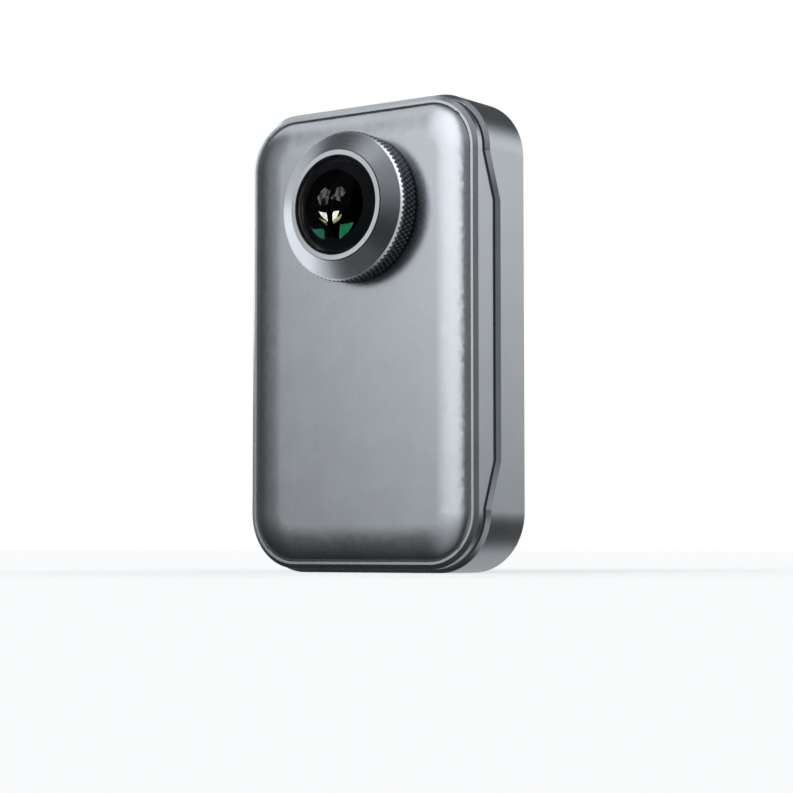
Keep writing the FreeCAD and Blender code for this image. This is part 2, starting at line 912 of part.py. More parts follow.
def board_blank(left, right, bottom, top):
    """A flat board of the main board's thickness on the plate, with round corners."""
    blank = box(left, right, half_plate, half_plate + main_board_thickness, bottom, top)
    corners = [edge for edge in blank.Edges if abs(edge.tangentAt(edge.FirstParameter).y) > 0.5]
    return blank.makeFillet(main_board_corner, corners)


def main_board():
    """The main board behind the plate, with its processor and an ear under the power switch."""
    face = half_plate + main_board_thickness
    ear_left = power_switch_face() - board_ear_margin / 2
    ear_right = board_ear_inside - main_board_left
    ear_low = power_height - switch_side / 2 - board_ear_margin
    ear_high = power_height + switch_side / 2 + board_ear_margin
    neck_low = min(ear_low, main_board_top) - board_ear_overlap
    neck_high = ear_high - main_board_corner
    ear = board_blank(ear_left, ear_right, ear_low, ear_high)
    neck = box(-main_board_left, ear_right, half_plate, face, neck_low, neck_high)
    half = chip_size / 2
    left = chip_x - half
    bottom = chip_height - half
    chip = box(left, left + chip_size, face, face + chip_thickness, bottom, bottom + chip_size)
    board = board_blank(-main_board_left, main_board_right, main_board_bottom, main_board_top)
    return board.fuse([ear, neck, chip]).removeSplitter()


def heat_spreader():
    """A folded plate that carries the processor's heat to the rear panel."""
    low = half_plate + main_board_thickness + chip_thickness
    high = panel_back_out - spreader_panel_gap
    left = chip_x - spreader_width / 2
    right = chip_x + spreader_width / 2
    bottom = chip_height - spreader_height / 2
    top = chip_height + spreader_height / 2
    tray = box(left, right, low, high, bottom, top)
    inside = box(
        left + spreader_thickness,
        right - spreader_thickness,
        low + spreader_thickness,
        far,
        bottom - 1,
        top + 1,
    )
    return tray.cut(inside)


def hinge_place():
    """The port door's hinge line, as x and z."""
    return knuckle_radius - half_width, door_bottom + knuckle_radius


def hinge_lugs_y():
    """The spans along Y of the two hinge lugs."""
    half_door = door_width / 2
    half_knuckle = knuckle_length / 2 + knuckle_side_gap
    return [(bay_y - half_door, bay_y - half_knuckle), (bay_y + half_knuckle, bay_y + half_door)]


def tray_face():
    """Where the port tray's face lies, just behind the door's seal."""
    return door_thickness + seal_height + tray_gap - half_width


def port_door():
    """The door over the ports, with its knuckle and a nick for a fingernail."""
    x, z = hinge_place()
    half_door = door_width / 2
    outer = -half_width
    plate = box(outer, outer + door_thickness, bay_y - half_door, bay_y + half_door, z, door_top)
    half_knuckle = knuckle_length / 2
    knuckle = rod(knuckle_radius, Vector(x, bay_y - half_knuckle, z), Vector(x, bay_y + half_knuckle, z))
    door = plate
    for low, high in hinge_lugs_y():
        inner_low = low - 1 if low < bay_y - half_knuckle - knuckle_side_gap else low
        inner_high = high + 1 if high > bay_y + half_knuckle + knuckle_side_gap else high
        corner = knuckle_radius + lug_sweep_gap
        door = door.cut(box(-far, 0, inner_low, inner_high, 0, z + corner))
    door = door.fuse(knuckle)
    hole = hinge_pin_radius + hinge_running_clearance
    door = door.cut(rod(hole, Vector(x, -far, z), Vector(x, far, z)))
    nick = rod(door_nick_radius, Vector(outer, -far, door_top), Vector(outer, far, door_top))
    limit = box(-far, outer + door_nick_depth, -far, far, 0, far + door_top)
    return door.cut(nick.common(limit)).removeSplitter()


def door_seal():
    """The rubber ring on the inside of the port door."""
    x, z = hinge_place()
    low = door_thickness - half_width
    high = low + seal_height
    half = door_width / 2 - seal_inset
    bottom = z + seal_hinge_gap
    top = door_top - seal_top_gap
    block = box(low, high, bay_y - half, bay_y + half, bottom, top)
    inner = half - seal_band
    return block.cut(box(-far, 0, bay_y - inner, bay_y + inner, bottom + seal_band, top - seal_band))


def door_hinge_pin():
    """The pin through the lugs and the door's knuckle."""
    x, z = hinge_place()
    half = door_width / 2
    return rod(hinge_pin_radius, Vector(x, bay_y - half, z), Vector(x, bay_y + half, z))


def socket_y():
    """The middle of the charging socket, above the main board."""
    return half_plate + main_board_thickness + usb_height / 2


def stadium(length, height, x0, x1, y, z):
    """A bar along X whose section has round ends."""
    radius = height / 2
    reach = length / 2 - radius
    bar = box(x0, x1, y - radius, y + radius, z - reach, z + reach)
    for centre in (z - reach, z + reach):
        bar = bar.fuse(rod(radius, Vector(x0, y, centre), Vector(x1, y, centre)))
    return bar.removeSplitter()


def port_tray():
    """The plastic tray behind the door, with the openings of both sockets and the hinge lugs."""
    face = tray_face()
    back = face + tray_thickness
    low = bay_y - door_width / 2 - tray_side
    high = bay_y + door_width / 2 + tray_side
    bottom = door_bottom - tray_reach
    top = door_top + tray_reach
    tray = box(face, back, low, high, bottom, top)
    inner_wall = -inner_side
    tray = tray.fuse(box(inner_wall, back, low, high, bottom, door_bottom - door_gap))
    tray = tray.fuse(box(inner_wall, back, low, high, door_top + door_gap, top))
    x, z = hinge_place()
    for lug_low, lug_high in hinge_lugs_y():
        lug = rod(lug_radius, Vector(x, lug_low, z), Vector(x, lug_high, z))
        web = box(x, face, lug_low, lug_high, z - lug_radius, z + lug_radius)
        tray = tray.fuse([lug, web])
    hole = hinge_pin_radius + hinge_press_clearance
    tray = tray.cut(rod(hole, Vector(x, -far, z), Vector(x, far, z)))
    sweep = knuckle_radius + lug_sweep_gap
    half_knuckle = knuckle_length / 2 + knuckle_side_gap
    clear = rod(sweep, Vector(x, bay_y - half_knuckle, z), Vector(x, bay_y + half_knuckle, z))
    tray = tray.cut(clear)
    tray = tray.cut(stadium(
        usb_length + 2 * socket_clearance,
        usb_height + 2 * socket_clearance,
        face - 1,
        back + 1,
        socket_y(),
        usb_centre,
    ))
    slot_y = half_plate + main_board_thickness + card_height / 2
    half_slot = card_slot_height / 2 + socket_clearance
    half_length = card_slot_length / 2 + socket_clearance
    slot = box(
        face - 1,
        back + 1,
        slot_y - half_slot,
        slot_y + half_slot,
        card_centre - half_length,
        card_centre + half_length,
    )
    return tray.cut(slot).removeSplitter()


def usb_socket():
    """The charging socket: an oval metal shell with a tongue inside."""
    mouth = tray_face()
    back = mouth + usb_depth
    y = socket_y()
    shell = stadium(usb_length, usb_height, mouth, back, y, usb_centre)
    hollow = stadium(
        usb_length - 2 * usb_wall,
        usb_height - 2 * usb_wall,
        mouth - 1,
        back - usb_wall,
        y,
        usb_centre,
    )
    half_tongue = usb_tongue_length / 2
    half_thick = usb_tongue_thickness / 2
    tongue = box(
        mouth + usb_wall,
        back - usb_wall,
        y - half_thick,
        y + half_thick,
        usb_centre - half_tongue,
        usb_centre + half_tongue,
    )
    return shell.cut(hollow).fuse(tongue).removeSplitter()


def card_socket():
    """The memory card's socket on the main board."""
    low = half_plate + main_board_thickness
    mouth = tray_face() + tray_thickness
    half = card_length / 2
    block = box(mouth, mouth + card_depth, low, low + card_height, card_centre - half, card_centre + half)
    centre = low + card_height / 2
    half_slot = card_slot_height / 2
    half_length = card_slot_length / 2
    slot = box(
        mouth - 1,
        mouth + card_slot_depth,
        centre - half_slot,
        centre + half_slot,
        card_centre - half_length,
        card_centre + half_length,
    )
    return block.cut(slot)


def power_button():
    """The round button on the left side, with the flange that keeps it in."""
    outer = -half_width - power_proud
    flange_face = flange_clearance - inner_side
    flange_back = flange_face + power_flange_thickness
    stem_end = flange_back + power_stem_length
    parts = [
        (power_radius, outer, flange_back),
        (power_radius + power_flange, flange_face, flange_back),
        (power_stem_radius, flange_back, stem_end),
    ]
    solids = [
        rod(radius, Vector(x0, bay_y, power_height), Vector(x1, bay_y, power_height))
        for radius, x0, x1 in parts
    ]
    rim = solids[0]
    outer_edge = [edge for edge in rim.Edges if abs(edge.CenterOfMass.x - outer) < 0.01]
    rounded = rim.makeFillet(power_proud / 2, outer_edge)
    return rounded.fuse(solids[1:]).removeSplitter()


def power_switch():
    """The switch that the power button's stem presses, on the main board's ear."""
    face = power_switch_face()
    low = half_plate + main_board_thickness
    half = switch_side / 2
    return box(face, face + switch_depth, low, low + switch_side, power_height - half, power_height + half)


def shutter_flange_top():
    """Where the shutter button's flange stops under the top wall."""
    return inner_top - flange_clearance


def shelf_level():
    """The top of the shelf that the shutter's spring stands on."""
    return shutter_flange_top() - shutter_flange_thickness - spring_length - 2 * spring_end_gap


def shutter_button():
    """The shutter button on the top, with its flange and stem."""
    top = shell_height + shutter_proud
    flange_top = shutter_flange_top()
    flange_low = flange_top - shutter_flange_thickness
    stem_end = shelf_level() - shelf_thickness - stem_below_shelf
    under = Vector(shutter_x, top_row_y, flange_low)
    head = rod(shutter_radius, under, Vector(shutter_x, top_row_y, top))
    edge = [item for item in head.Edges if abs(item.CenterOfMass.z - top) < 0.01]
    head = head.makeFillet(shutter_proud / 2, edge)
    flange = rod(shutter_radius + shutter_flange, under, Vector(shutter_x, top_row_y, flange_top))
    stem = rod(shutter_stem_radius, Vector(shutter_x, top_row_y, stem_end), under)
    return head.fuse([flange, stem]).removeSplitter()


def spring_section(turn, pitch):
    """The wire's eight-sided section, square to the coil, after so many turns."""
    angle = 2 * math.pi * turn
    outward = Vector(math.cos(angle), math.sin(angle), 0)
    heading = Vector(-math.sin(angle), math.cos(angle), pitch / (2 * math.pi * spring_radius))
    upward = outward.cross(heading.normalize())
    centre = outward * spring_radius + Vector(0, 0, pitch * turn)
    corners = []
    for side in range(spring_wire_sides):
        around = 2 * math.pi * side / spring_wire_sides
        reach = outward * math.cos(around) + upward * math.sin(around)
        corners.append(centre + reach * (spring_wire / 2))
    return Part.makePolygon(corners + [corners[0]])


def shutter_spring():
    """The coil spring under the shutter button."""
    pitch = (spring_length - spring_wire) / spring_turns
    steps = spring_turns * spring_steps_per_turn
    sections = [spring_section(step / spring_steps_per_turn, pitch) for step in range(steps + 1)]
    spring = Part.makeLoft(sections, True, True)
    low = shelf_level() + spring_end_gap + spring_wire / 2
    return spring.translated(Vector(shutter_x, top_row_y, low))


def top_bracket():
    """The bracket on the plate that carries the spring, the switch and the small top board."""
    level = shelf_level()
    back = half_plate + bracket_wall
    leg = box(-bracket_half_length, bracket_half_length, half_plate, back, level - bracket_depth, level)
    shelf = box(
        -bracket_half_length,
        bracket_half_length,
        half_plate,
        half_plate + shelf_depth,
        level - shelf_thickness,
        level,
    )
    half_leg = switch_leg_width / 2
    switch_leg = box(
        shutter_x - half_leg,
        shutter_x + half_leg,
        half_plate,
        back,
        level - switch_leg_depth,
        level,
    )
    hole = shutter_stem_radius + stem_clearance
    bracket = leg.fuse([shelf, switch_leg])
    through = rod(hole, Vector(shutter_x, top_row_y, 0), Vector(shutter_x, top_row_y, far + shell_height))
    return bracket.cut(through).removeSplitter()


def shutter_switch():
    """The switch that the shutter button's stem presses."""
    stem_end = shelf_level() - shelf_thickness - stem_below_shelf
    top = stem_end - shutter_travel - switch_gap
    half = switch_width / 2
    back = half_plate + bracket_wall
    return box(shutter_x - half, shutter_x + half, back, back + switch_width, top - switch_height, top)


def top_board():
    """The small board under the top wall, with the status light's lamp and the microphone."""
    low = shelf_level()
    high = low + board_thickness
    half = top_board_length / 2
    y0 = half_plate + bracket_wall
    board = box(top_board_centre - half, top_board_centre + half, y0, y0 + top_board_width, low, high)
    half_can = microphone_width / 2
    can = box(
        microphone_x - half_can,
        microphone_x + half_can,
        y0,
        y0 + microphone_width,
        high,
        high + microphone_height,
    )
    return board.fuse(can)


def status_light():
    """The clear rod that brings the lamp's light to the top face."""
    low = shelf_level() + board_thickness
    return rod(light_radius, Vector(light_x, top_row_y, low), Vector(light_x, top_row_y, shell_height))


def microphone_boot():
    """The rubber tube between the microphone and its hole in the top wall."""
    low = shelf_level() + board_thickness + microphone_height
    place = Vector(microphone_x, top_row_y, low)
    end = Vector(microphone_x, top_row_y, inner_top)
    return rod(boot_radius, place, end).cut(rod(microphone_hole_radius, place, end))


def tripod_bush():
    """The metal bush for a tripod's screw."""
    place = Vector(0, tripod_y, 0)
    up = Vector(0, 0, 1)
    bush = rod(tripod_bush_radius, place, place + up * tripod_bush_length)
    low = place + up * wall
    bush = bush.fuse(rod(tripod_flange_radius, low, low + up * tripod_flange_thickness))
    return bush.cut(rod(tripod_bore, place, place + up * tripod_thread_length)).removeSplitter()


def save_lens(name, end, screw_angle, ring):
    """Writes every piece of one lens, with a copy of the lock ring."""
    foot = panel_back_out - panel_seal_thickness
    seal_low = glass_seat_out
    seal_high = glass_seat_out + glass_seal_thickness
    hole = bearing_radius + panel_hole_clearance
    save(name + "_lens_housing", lens_housing(end, screw_angle))
    save(name + "_lock_ring", at_lens(ring, end))
    save(name + "_glass_retainer", glass_retainer(end))
    save(name + "_dome_glass", domed_glass(end))
    save(name + "_glass_seal", at_lens(tube(glass_flange_radius, glass_seal_inner, seal_low, seal_high), end))
    save(name + "_panel_seal", at_lens(tube(shoulder_radius, hole, foot, panel_back_out), end))
    save(name + "_lens_hood", lens_hood(end))
    save(name + "_lens_barrel", lens_barrel(end))
    save(name + "_inner_lenses", inner_lenses(end))
    save(name + "_sensor_board", sensor_board(end))
    save(name + "_lens_screws", lens_screws(end, screw_angle))


save("front_panel", crowned_panel(frame_width, frame_height, frame_corner, front))
save("front_frame", front_frame())
save("rear_shell", rear_shell())
save("rear_panel", crowned_panel(shell_width, shell_height, shell_corner, rear))
save("body_gasket", body_gasket())
save("middle_plate", middle_plate())
save("case_screws", case_screws())
both_rings = lock_ring()
save_lens("front", front, front_screw_angle, both_rings)
save_lens("rear", rear, rear_screw_angle, both_rings)
save("front_sensor_cable", front_cable())
save("rear_sensor_cable", rear_cable())
save("battery", battery())
save("main_board", main_board())
save("heat_spreader", heat_spreader())
save("port_tray", port_tray())
save("port_door", port_door())
save("door_seal", door_seal())
save("door_hinge_pin", door_hinge_pin())
save("usb_socket", usb_socket())
save("card_socket", card_socket())
save("power_button", power_button())
save("power_switch", power_switch())
save("shutter_button", shutter_button())
save("shutter_spring", shutter_spring())
save("shutter_switch", shutter_switch())
save("top_bracket", top_bracket())
save("top_board", top_board())
save("status_light", status_light())
save("microphone_boot", microphone_boot())
save("tripod_bush", tripod_bush())
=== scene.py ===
import bmesh
import bpy
import json
import math

from mathutils import Euler, Matrix, Vector

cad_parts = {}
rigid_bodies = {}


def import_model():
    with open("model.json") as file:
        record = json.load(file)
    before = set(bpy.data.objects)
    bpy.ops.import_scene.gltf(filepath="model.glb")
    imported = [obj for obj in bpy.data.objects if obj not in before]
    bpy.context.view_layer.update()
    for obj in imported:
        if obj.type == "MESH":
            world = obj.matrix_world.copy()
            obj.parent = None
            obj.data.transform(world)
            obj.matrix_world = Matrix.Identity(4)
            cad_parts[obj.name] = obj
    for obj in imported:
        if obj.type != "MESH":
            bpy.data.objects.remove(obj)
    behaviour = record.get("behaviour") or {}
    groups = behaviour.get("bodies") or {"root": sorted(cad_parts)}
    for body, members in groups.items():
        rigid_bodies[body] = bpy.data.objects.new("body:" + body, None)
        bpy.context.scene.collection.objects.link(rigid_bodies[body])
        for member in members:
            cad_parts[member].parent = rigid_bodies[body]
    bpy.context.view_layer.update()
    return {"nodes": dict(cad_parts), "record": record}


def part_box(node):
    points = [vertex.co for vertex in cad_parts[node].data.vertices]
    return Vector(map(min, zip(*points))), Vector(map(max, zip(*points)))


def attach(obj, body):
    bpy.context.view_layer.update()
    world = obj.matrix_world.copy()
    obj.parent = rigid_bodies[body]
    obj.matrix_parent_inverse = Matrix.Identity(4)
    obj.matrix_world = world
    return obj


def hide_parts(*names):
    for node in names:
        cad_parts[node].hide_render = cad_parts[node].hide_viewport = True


bl_info = {
    "name": "Pocket camera with two fisheye lenses",
    "version": (1, 0, 0),
    "blender": (4, 5, 0),
    "location": "3D View > Sidebar > Camera",
    "description": "Builds the finish, glass, knurled rings and studio of a pocket camera",
    "category": "Object",
}

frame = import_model()

MM = 0.001
LENS_RINGS = {"front": "front_ring", "rear": "rear_ring"}
BODY = "camera_body"

SHARP_ANGLE = 19.0  # degrees; an edge that turns by more is shaded sharp, and bevelled on the body
WELD_GAP = 0.001 * MM  # a node's loose triangles are joined where their corners are this close
SPIN_GAP = 0.0005 * MM
LIGHT_DISTANCE = 0.4  # metres from the front lens to each card and pane of the studio

# The wall inside each end's rim: how far it goes down, and how flat it may face
RIM_WALL_DEPTH = 1.5 * MM
RIM_WALL_FACING = 0.4

# The outer glass and the black ring under it
DOME_STEPS = 28
DOME_INNER_SHARE = 0.94  # the inner dome's edge as a share of the outer one's
DOME_RIM_DEPTH = 0.1 * MM
DOME_RIM_WIDTH = 0.2 * MM
HOOD_SIDE_GAP = 0.25 * MM
HOOD_GLASS_GAP = 0.35 * MM
HOOD_STEPS = 8
HOOD_SKIRT = 1.5 * MM
RIB_RELIEF = 0.12 * MM
RIB_RISE_SHARE = 0.3
THROAT_WIDTH = 0.4 * MM

# The lock ring: radii of its lip and inside, and distances from the middle plane
RING_LIP = 11.76 * MM
RING_INSIDE = 14.0 * MM
RING_FOOT = 10.21 * MM
RING_TOP = 17.3 * MM
RING_INNER_STEP = 15.0 * MM
RING_LIP_BACK = 16.6 * MM
RING_PLAIN_BAND = 0.35 * MM  # left behind the last row of the knurl
RING_SLACK = 0.05 * MM
POINT_SLACK = 0.1 * MM
CUT_OVERLAP = 0.12 * MM
NOTCH_SHARE = 0.45  # how far down the cut edge the grooves run out
RING_FINISHES = ["ring_cone", "ring_knurl", "ring_cut_edge"]


def middle_of(node):
    """The middle of a node's box."""
    low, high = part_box(node)
    return (low + high) / 2


def out_of(node):
    """How far a front node reaches from the body's middle plane."""
    return -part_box(node)[0].y


LENS_HEIGHT = middle_of("front_lock_ring").z
BODY_HEIGHT = 2 * middle_of("rear_shell").z


# User settings


class MetalSettings(bpy.types.PropertyGroup):
    """Colours and finish of the metal pieces."""

    body: bpy.props.FloatVectorProperty(
        name="Body", description="Colour of the satin body", subtype="COLOR",
        default=(0.60, 0.615, 0.635), min=0, max=1)
    body_roughness: bpy.props.FloatProperty(
        name="Body roughness", description="How far the satin finish spreads a reflection",
        default=0.27, min=0, max=1, subtype="FACTOR")
    grain_size: bpy.props.FloatProperty(
        name="Grain", description="Size of one grain of the blasted finish",
        default=0.06 * MM, min=0.01 * MM, unit="LENGTH")
    rim_wall: bpy.props.FloatVectorProperty(
        name="Rim wall", description="Colour of the dull wall inside the rim, beside the panel",
        subtype="COLOR", default=(0.36, 0.37, 0.38), min=0, max=1)
    soft_edge: bpy.props.FloatProperty(
        name="Soft edge", description="Width of the small bevel along the body's edges",
        default=0.05 * MM, min=0, unit="LENGTH")
    cone: bpy.props.FloatVectorProperty(
        name="Cone face", description="Colour of the lock ring's turned face", subtype="COLOR",
        default=(0.50, 0.515, 0.54), min=0, max=1)
    knurl: bpy.props.FloatVectorProperty(
        name="Knurl", description="Colour of the lock ring's knurled side", subtype="COLOR",
        default=(0.13, 0.14, 0.155), min=0, max=1)
    cut_edge: bpy.props.FloatVectorProperty(
        name="Cut edge", description="Colour of the bright cut along the knurl's front edge",
        subtype="COLOR", default=(0.93, 0.94, 0.96), min=0, max=1)
    cone_edge: bpy.props.FloatProperty(
        name="Cone edge", description="Radius of the cone face", default=15.36 * MM, unit="LENGTH")
    knurl_radius: bpy.props.FloatProperty(
        name="Knurl radius", description="Radius over the knurl's points",
        default=15.9 * MM, unit="LENGTH")
    knurl_depth: bpy.props.FloatProperty(
        name="Knurl depth", description="Depth of the knurl's grooves",
        default=0.42 * MM, unit="LENGTH")
    knurl_front: bpy.props.FloatProperty(
        name="Knurl front", description="Distance of the cone's edge from the middle plane",
        default=15.3 * MM, unit="LENGTH")
    knurl_teeth: bpy.props.IntProperty(
        name="Teeth", description="Points in one row of the knurl", default=90, min=12)
    knurl_rows: bpy.props.IntProperty(
        name="Rows", description="Rows of points behind the first", default=4, min=1)
    knurl_flat: bpy.props.FloatProperty(
        name="Worn points", description="Size of the flats on the knurl's points",
        default=0.24 * MM, unit="LENGTH")
    cut_width: bpy.props.FloatProperty(
        name="Cut width", description="Depth of the bright front bevel",
        default=0.62 * MM, unit="LENGTH")
    retainer: bpy.props.FloatVectorProperty(
        name="Glass ring", description="Colour of the light ring round the glass", subtype="COLOR",
        default=(0.70, 0.71, 0.73), min=0, max=1)


class GlassSettings(bpy.types.PropertyGroup):
    """Sizes and colours of the optics."""

    segments: bpy.props.IntProperty(
        name="Segments", description="Steps round each lens piece", default=128, min=24)
    dome_radius: bpy.props.FloatProperty(
        name="Dome ball", description="Ball radius of the outer glass",
        default=17.76 * MM, unit="LENGTH")
    dome_edge: bpy.props.FloatProperty(
        name="Dome edge", description="Radius of the outer glass where its dome ends",
        default=10.45 * MM, unit="LENGTH")
    dome_thick: bpy.props.FloatProperty(
        name="Dome thickness", description="Thickness of the outer glass",
        default=1.2 * MM, unit="LENGTH")
    hood_bore: bpy.props.FloatProperty(
        name="Hood bore", description="Radius of the opening in the black ring",
        default=7.2 * MM, unit="LENGTH")
    rib_count: bpy.props.IntProperty(
        name="Ribs", description="Fine steps in the throat of the black ring", default=9, min=1)
    rib_step: bpy.props.FloatProperty(
        name="Rib step", description="Depth of one of the fine steps",
        default=0.42 * MM, unit="LENGTH")
    coating: bpy.props.FloatVectorProperty(
        name="Coating", description="Share of each colour that the outer glass still reflects",
        subtype="COLOR", default=(0.8, 0.85, 0.8), min=0, max=1)
    inner_tint: bpy.props.FloatVectorProperty(
        name="Inner tint", description="Colour of the light that comes through the inner lenses",
        subtype="COLOR", default=(0.02, 0.02, 0.022), min=0, max=1)
    inner_coating: bpy.props.FloatVectorProperty(
        name="Inner coating",
        description="Share of each colour that the inner lenses still reflect",
        subtype="COLOR", default=(0.06, 0.07, 0.05), min=0, max=1)


class StudioSettings(bpy.types.PropertyGroup):
    """Light, floor and camera."""

    camera_distance: bpy.props.FloatProperty(
        name="Distance", description="Distance of the camera from the body's middle axis",
        default=0.46732, unit="LENGTH")
    camera_turn: bpy.props.FloatProperty(
        name="Turn", description="How far the camera stands round to the right",
        default=math.radians(36.114), subtype="ANGLE")
    camera_height: bpy.props.FloatProperty(
        name="Height", description="Height of the camera above the floor",
        default=0.00514, unit="LENGTH")
    camera_yaw: bpy.props.FloatProperty(
        name="Yaw", description="Direction in which the camera looks, from straight ahead",
        default=math.radians(35.784), subtype="ANGLE")
    camera_pitch: bpy.props.FloatProperty(
        name="Pitch", description="How far the camera looks up",
        default=math.radians(3.972), subtype="ANGLE")
    camera_lens: bpy.props.FloatProperty(
        name="Lens", description="Focal length for a 36 mm sensor", default=99.27)
    softbox: bpy.props.FloatProperty(
        name="Softbox", description="Brightness of the tall softbox in front", default=1.31, min=0)
    room: bpy.props.FloatProperty(
        name="Room", description="Brightness of the room between the lights", default=0.09, min=0)
    glass_room: bpy.props.FloatProperty(
        name="Room in the glass",
        description="Share of the studio's light that the polished glass mirrors",
        default=0.015, min=0, max=1)
    left_card: bpy.props.FloatProperty(
        name="Left card", description="Brightness of the card that lights the ring from the left",
        default=1.7, min=0)
    right_card: bpy.props.FloatProperty(
        name="Right card",
        description="Brightness of the cards that light the ring's cut edge and knurl",
        default=3.0, min=0)
    frame_card: bpy.props.FloatProperty(
        name="Frame card", description="Brightness of the card that lights the body's left edges",
        default=1.8, min=0)
    crown_card: bpy.props.FloatProperty(
        name="Crown card",
        description="Brightness of the card that lights the panel's top left corner",
        default=0.7, min=0)
    light_colour: bpy.props.FloatVectorProperty(
        name="Light colour", description="Colour of the studio's light", subtype="COLOR",
        default=(0.925, 0.967, 1.0), min=0, max=1)
    floor_glow: bpy.props.FloatProperty(
        name="Floor", description="Light that the pale floor gives off by itself",
        default=0.72, min=0)
    # The floor's painted shadow: how bright the floor is painted close to the object.
    floor_painted_shadow: bpy.props.FloatProperty(
        name="Floor shade", description="Brightness of the floor close to the object",
        default=0.9, min=0, max=1, subtype="FACTOR")


# Node helpers


def empty_material(name):
    """A new node material with only its output."""
    material = bpy.data.materials.new(name)
    material.use_nodes = True
    material.node_tree.nodes.clear()
    output = material.node_tree.nodes.new("ShaderNodeOutputMaterial")
    return material, material.node_tree, output


def node(tree, kind, **values):
    """A node with its settings; a value for a socket is written as its name with underscores."""
    made = tree.nodes.new("ShaderNode" + kind)
    for name, value in values.items():
        if hasattr(made, name):
            setattr(made, name, value)
        else:
            made.inputs[name.replace("_", " ")].default_value = value
    return made


def maths(tree, operation, a, b=0.0, clamp=False):
    """One sum of two numbers or sockets."""
    made = node(tree, "Math", operation=operation, use_clamp=clamp)
    for socket, value in zip(made.inputs, (a, b)):
        if isinstance(value, bpy.types.NodeSocket):
            tree.links.new(value, socket)
        else:
            socket.default_value = value
    return made.outputs[0]


def remap(tree, value, low, high, to_low=0.0, to_high=1.0, smooth=False):
    """A value moved from one range to another."""
    kind = "SMOOTHSTEP" if smooth else "LINEAR"
    made = node(tree, "MapRange", interpolation_type=kind)
    tree.links.new(value, made.inputs["Value"])
    made.inputs["From Min"].default_value = low
    made.inputs["From Max"].default_value = high
    made.inputs["To Min"].default_value = to_low
    made.inputs["To Max"].default_value = to_high
    return made.outputs["Result"]


def new_group(name, inputs, outputs):
    """A shader node group with named inputs and outputs, as (tree, inputs, outputs)."""
    group = bpy.data.node_groups.new(name, "ShaderNodeTree")
    for label, kind, default in inputs:
        socket = group.interface.new_socket(label, in_out="INPUT", socket_type="NodeSocket" + kind)
        socket.default_value = default
    for label, kind in outputs:
        group.interface.new_socket(label, in_out="OUTPUT", socket_type="NodeSocket" + kind)
    entry = group.nodes.new("NodeGroupInput")
    leave = group.nodes.new("NodeGroupOutput")
    return group, entry.outputs, leave.inputs


def use_group(tree, group, **values):
    """A group placed in a material, with its own values."""
    made = tree.nodes.new("ShaderNodeGroup")
    made.node_tree = group
    for name, value in values.items():
        socket = made.inputs[name.replace("_", " ")]
        if isinstance(value, bpy.types.NodeSocket):
            tree.links.new(value, socket)
        else:
            socket.default_value = value
    return made


def noise_at(tree, place, scale, detail, roughness=0.5):
    """A noise value at a place."""
    made = node(tree, "TexNoise", Detail=detail, Roughness=roughness)
    tree.links.new(place, made.inputs["Vector"])
    if isinstance(scale, bpy.types.NodeSocket):
        tree.links.new(scale, made.inputs["Scale"])
    else:
        made.inputs["Scale"].default_value = scale
    return made.outputs["Fac"]


# Effects that several materials share


def grain_group():
    """Fine blasted grain: a height for the bump and a slow variation of the finish."""
    group, given, result = new_group(
        "fine_grain",
        [("Grain", "Float", 0.06 * MM), ("Cloud", "Float", 9 * MM), ("Base", "Float", 0.3),
         ("Spread", "Float", 0.03)],
        [("Height", "Float"), ("Roughness", "Float"), ("Tone", "Float")],
    )
    place = node(group, "TexCoord").outputs["Object"]
    grain = noise_at(group, place, maths(group, "DIVIDE", 1.0, given["Grain"]), 2.0)
    cloud = noise_at(group, place, maths(group, "DIVIDE", 1.0, given["Cloud"]), 3.0)
    drift = maths(group, "MULTIPLY", maths(group, "SUBTRACT", cloud, 0.5), given["Spread"])
    speckle = maths(group, "MULTIPLY", maths(group, "SUBTRACT", grain, 0.5), given["Spread"])
    mixed = maths(group, "ADD", maths(group, "MULTIPLY", drift, 2.0), speckle)
    group.links.new(grain, result["Height"])
    group.links.new(maths(group, "ADD", mixed, given["Base"], True), result["Roughness"])
    group.links.new(remap(group, cloud, 0.3, 0.7, 0.97, 1.03), result["Tone"])
    return group


def turned_group():
    """Fine lines round the lens axis, as a lathe leaves them: a height and a mask."""
    group, given, result = new_group(
        "turned_lines",
        [("Pitch", "Float", 0.12 * MM), ("Irregular", "Float", 0.4)],
        [("Height", "Float"), ("Mask", "Float")],
    )
    place = node(group, "TexCoord").outputs["Object"]
    split = node(group, "SeparateXYZ")
    group.links.new(place, split.inputs["Vector"])
    up = maths(group, "SUBTRACT", split.outputs["Z"], LENS_HEIGHT)
    across = maths(group, "POWER", split.outputs["X"], 2.0)
    radius = maths(group, "SQRT", maths(group, "ADD", across, maths(group, "POWER", up, 2.0)))
    turn = maths(group, "DIVIDE", radius, given["Pitch"])
    lines = maths(group, "SINE", maths(group, "MULTIPLY", turn, 2 * math.pi))
    loose = node(group, "CombineXYZ")
    group.links.new(maths(group, "MULTIPLY", turn, 0.7), loose.inputs["X"])
    scratch = noise_at(group, loose.outputs["Vector"], 1.0, 4.0, 0.7)
    wander = maths(group, "MULTIPLY", scratch, given["Irregular"])
    height = maths(group, "ADD", maths(group, "MULTIPLY", lines, 0.25), wander)
    group.links.new(height, result["Height"])
    group.links.new(scratch, result["Mask"])
    return group


def tinted(tree, colour, tone):
    """A colour made slightly lighter and darker by a tone value."""
    mix = node(tree, "Mix", data_type="RGBA", blend_type="MULTIPLY")
    mix.inputs["Factor"].default_value = 1.0
    mix.inputs["A"].default_value = (*colour, 1.0)
    tree.links.new(tone, mix.inputs["B"])
    return mix.outputs["Result"]


def bump_from(tree, height, distance):
    """A normal from a height between 0 and 1, over a distance in metres."""
    made = node(tree, "Bump", Strength=1.0, Distance=distance)
    tree.links.new(height, made.inputs["Height"])
    return made.outputs["Normal"]


# Materials


